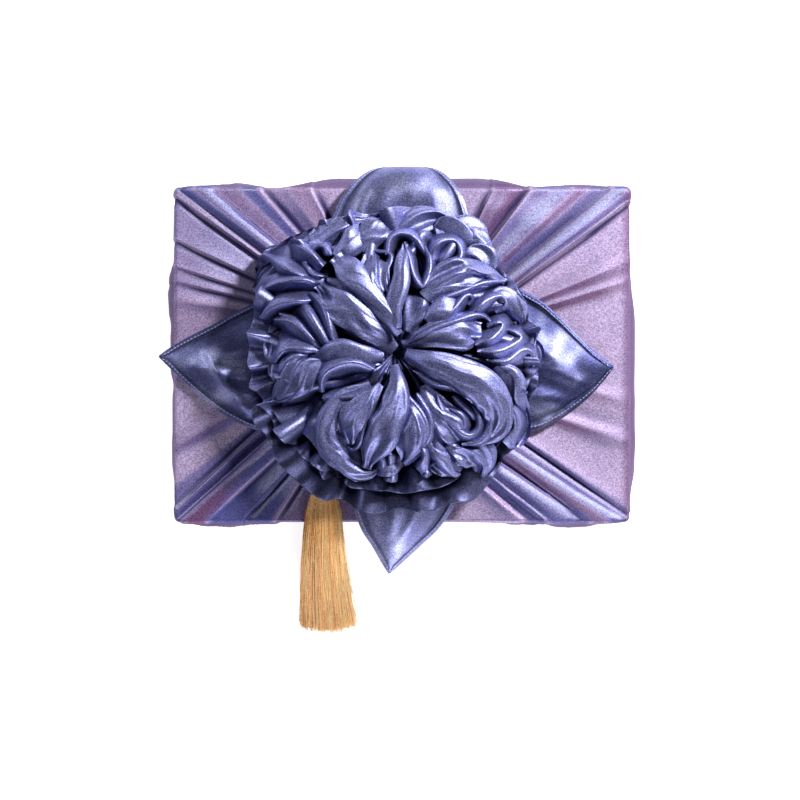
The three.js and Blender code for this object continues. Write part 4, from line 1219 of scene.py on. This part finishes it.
def makeHeart():
    # the scrunched cloth seen between the petals
    own = np.random.default_rng(31)
    heading = headings(heart["around"])
    rows = []
    for share in np.linspace(heart["start"], 1, heart["rows"]):
        spots = flower["centre"] + heart["radius"] * share * towards(heading)
        sunk = 0
        for hollow in hollows:
            sunk = sunk + hollow["depth"] * bell(farFrom(hollow["at"], spots) / hollow["radius"])
        twist = heading + heart["twist"] * share + 0.3 * np.sin(heading * 2 + 1)
        wave = np.sin(heart["gathers"] * twist) + 0.6 * np.sin(7 * twist + 3 * share)
        z = domeHeight(spots) + heart["lower"] - sunk + heart["wave"] * share ** 0.6 * wave
        rows.append(raised(spots, z))
    grid = np.array(rows)
    hold = np.zeros(grid.shape[:2])
    hold[:heart["heldRows"]] = heart["hold"]
    grid = settle(grid, heart["full"], heart["long"], hold, heartSettling, own, closed=True)
    return finer(grid, heart["finer"], closed=True)


# Shade between the folds: the squares it is worked out on, and how far below their level it comes
crevice = {"cell": 2.0, "reach": 115, "ground": 4.0, "blur": 3, "from": 0.3, "to": 8.0, "most": 0.92,
           "middle": 14, "middleShare": 0.5}


def cellsAt(spots):
    return (spots[..., :2] - flower["centre"] + crevice["reach"]) / crevice["cell"]


def heightMap(grids, widen=0):
    # the highest cloth over each small square, widened by so many squares and then evened out
    cells = int(2 * crevice["reach"] / crevice["cell"])
    highest = np.full((cells, cells), parcelTop + crevice["ground"])
    for grid in grids:
        spots = grid.reshape(-1, 3)
        at = cellsAt(spots).astype(int)
        inside = np.all((at >= 0) & (at < cells), axis=1)
        at, spots = at[inside], spots[inside]
        np.maximum.at(highest, (at[:, 0], at[:, 1]), spots[:, 2])
    for axis in (0, 1) * widen:
        highest = np.maximum(highest, np.maximum(np.roll(highest, 1, axis), np.roll(highest, -1, axis)))
    for axis in (0, 1) * crevice["blur"]:
        highest = (np.roll(highest, 1, axis) + highest + np.roll(highest, -1, axis)) / 3
    return highest


def levelAt(grid, heights):
    at = np.clip(cellsAt(grid) - 0.5, 0, len(heights) - 1.001)
    low = np.floor(at).astype(int)
    part = at - low
    level = 0
    for i, j in ((0, 0), (0, 1), (1, 0), (1, 1)):
        share = (part[:, :, 0] if i else 1 - part[:, :, 0]) * (part[:, :, 1] if j else 1 - part[:, :, 1])
        level = level + share * heights[low[:, :, 0] + i, low[:, :, 1] + j]
    return level


def creviceTone(grid, heights):
    # what lies well below the cloth round it is in shade
    middle = bell(farFrom(flower["centre"], grid) / crevice["middle"])
    most = crevice["most"] * (1 - crevice["middleShare"] * middle)
    return most * smoothStep(crevice["from"], crevice["to"], levelAt(grid, heights) - grid[:, :, 2])


def spotsOf(piece):
    spots = np.zeros(3 * len(piece.data.vertices), np.float32)
    piece.data.vertices.foreach_get("co", spots)
    return spots.reshape(-1, 3).astype(float) / millimetre


def makeFlower():
    own = np.random.default_rng(21)
    petalGrids, lengths = zip(*[makePetal(row, own) for row in petals])
    leafHeights = heightMap([spotsOf(leaf) for leaf, _ in leafPieces.values()], widen=3)
    frillGrids = [makeFrill(row) for row in frills]
    for grid in frillGrids:
        grid[:, :, 2] = np.maximum(grid[:, :, 2], levelAt(grid, leafHeights) + frillCut["overLeaf"])
    grids = {"flowerPetals": petalGrids, "flowerRuffles": frillGrids, "flowerHeart": [makeHeart()]}
    heights = heightMap([grid for group in grids.values() for grid in group])
    pieces = []
    for name, group in grids.items():
        sheets = Sheets()
        for k, grid in enumerate(group):
            scale = (lengths[k] / flower["grain"], 0.5) if name == "flowerPetals" else (0.5, 6)
            # painted shade in the crevices and on each frill, and blue painted shade on slopes facing away
            # from the key lamp
            deep = creviceTone(grid, heights)
            if name == "flowerRuffles":
                deep = np.clip(deep + frills[k]["shade"], 0, 1)
            sheets.add(grid, uvScale=scale, closed=name != "flowerPetals", deep=deep, blue=paintedSlopeShade(grid))
        pieces.append(sheets.make(name, flowerSatin))
    return pieces


flowerPetals, flowerRuffles, flowerHeart = makeFlower()
for flowerPiece in (flowerPetals, flowerRuffles, flowerHeart):
    print(flowerPiece.name, len(flowerPiece.data.polygons), "faces")


# Sections of the tassel from its head down: middle, half width and half depth. Strands end at
# different shares of its length, most of them near its end, and differ in tone.
tassel = {
    "strands": 1500, "strandRadius": 0.24, "steps": 22, "line": 60, "hollow": 0.25, "drift": 0.05,
    "full": 0.9, "fullEnds": (0.965, 1.0), "shortEnds": (0.88, 0.97),
    "tone": 0.58, "toRight": 0.12, "bands": 0.08, "uneven": 0.32,
    "sections": table(
        "x y z half depth",
        (-50.5, -78, 82.2, 2.6, 2.6), (-51, -84, 82.0, 4.6, 3.4), (-51.2, -92, 82.2, 8.4, 4.4),
        (-51.4, -102, 82.2, 11.2, 4.8), (-51.6, -113, 81.5, 12.4, 6.2), (-52, -128, 72.0, 13.8, 7.2),
        (-52, -148, 47.0, 15.8, 7.6), (-51.4, -170, 21.5, 18.0, 8.0), (-50.8, -183.5, 8.6, 19.6, 8.0)),
}
# The yarn wound round its head: middle, turns and the way between them, radius and yarn's own
binding = {"head": (-50.5, -76.5, 82.2), "turns": 7, "gap": 1.1, "start": -2, "radius": 3.4,
           "yarn": 0.55, "around": 24, "sides": 8, "tone": 0.55}


def makeStrands():
    own = np.random.default_rng(9)
    line = throughPoints([list(row.values()) for row in tassel["sections"]], tassel["line"])
    middle, half, depth = line[:, :3], line[:, 3], line[:, 4]
    right = np.array([1.0, 0, 0])
    up = np.cross(right, unit(np.gradient(middle, axis=0)))
    up *= np.sign(up[:, 2:3])
    at = np.linspace(0, 1, tassel["line"])
    sheets = Sheets()
    for _ in range(tassel["strands"]):
        turn = own.uniform(0, wholeTurn)
        out = math.sqrt(own.uniform(tassel["hollow"], 1))
        a, b = out * math.cos(turn), out * math.sin(turn)
        end = own.uniform(*tassel["fullEnds" if own.random() < tassel["full"] else "shortEnds"])
        share = np.linspace(0, end, tassel["steps"])
        spot, rise = readOff(share, at, middle), readOff(share, at, up)
        drift = own.normal(0, tassel["drift"]) * np.sin(share * own.uniform(2, 6) + own.uniform(0, 6))
        spot[:, 0] += (a + drift) * np.interp(share, at, half)
        spot += rise * ((b + 0.5 * drift) * np.interp(share, at, depth))[:, None]
        tube = [spot + (rise * math.sin(side) + right * math.cos(side)) * tassel["strandRadius"]
                for side in (0, wholeTurn / 3, wholeTurn * 2 / 3)]
        tone = tassel["tone"] + tassel["toRight"] * a + tassel["bands"] * math.sin(14 * a)
        tone = tone + own.normal(0, tassel["uneven"])
        sheets.add(np.stack(tube, 1), tone=tone, closed=True)
    return sheets.make("tasselStrands", goldYarn)


def makeBinding():
    sheets = Sheets()
    for turn in range(binding["turns"]):
        centre = np.array(binding["head"]) + np.array([0, binding["gap"] * turn + binding["start"], 0])
        ring = []
        for along in headings(binding["around"]):
            spoke = np.array([math.cos(along), 0, math.sin(along)])
            ring.append([centre + spoke * (binding["radius"] + binding["yarn"] * math.cos(side))
                         + np.array([0, binding["yarn"] * math.sin(side), 0])
                         for side in headings(binding["sides"])])
        sheets.add(np.array(ring + ring[:1]), tone=binding["tone"], closed=True)
    return sheets.make("tasselBinding", goldYarn)


tasselStrands, tasselBinding = makeStrands(), makeBinding()
print("tassel:", len(tasselStrands.data.polygons), "faces")


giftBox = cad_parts["gift_box"]
giftBox.data.materials.clear()
giftBox.data.materials.append(makeBoard())
print("gift box: board finish")


clothPieces = [wrappedCloth, clothBase, flowerPetals, flowerRuffles, flowerHeart]
clothPieces += [piece for pair in leafPieces.values() for piece in pair]
for piece in clothPieces:
    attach(piece, "root")
    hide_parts("wrapping_cloth")
for piece in (tasselStrands, tasselBinding):
    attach(piece, "root")
    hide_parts("tassel")

# The cloth is one square of 1.0 m
print("riding and sheets declared")
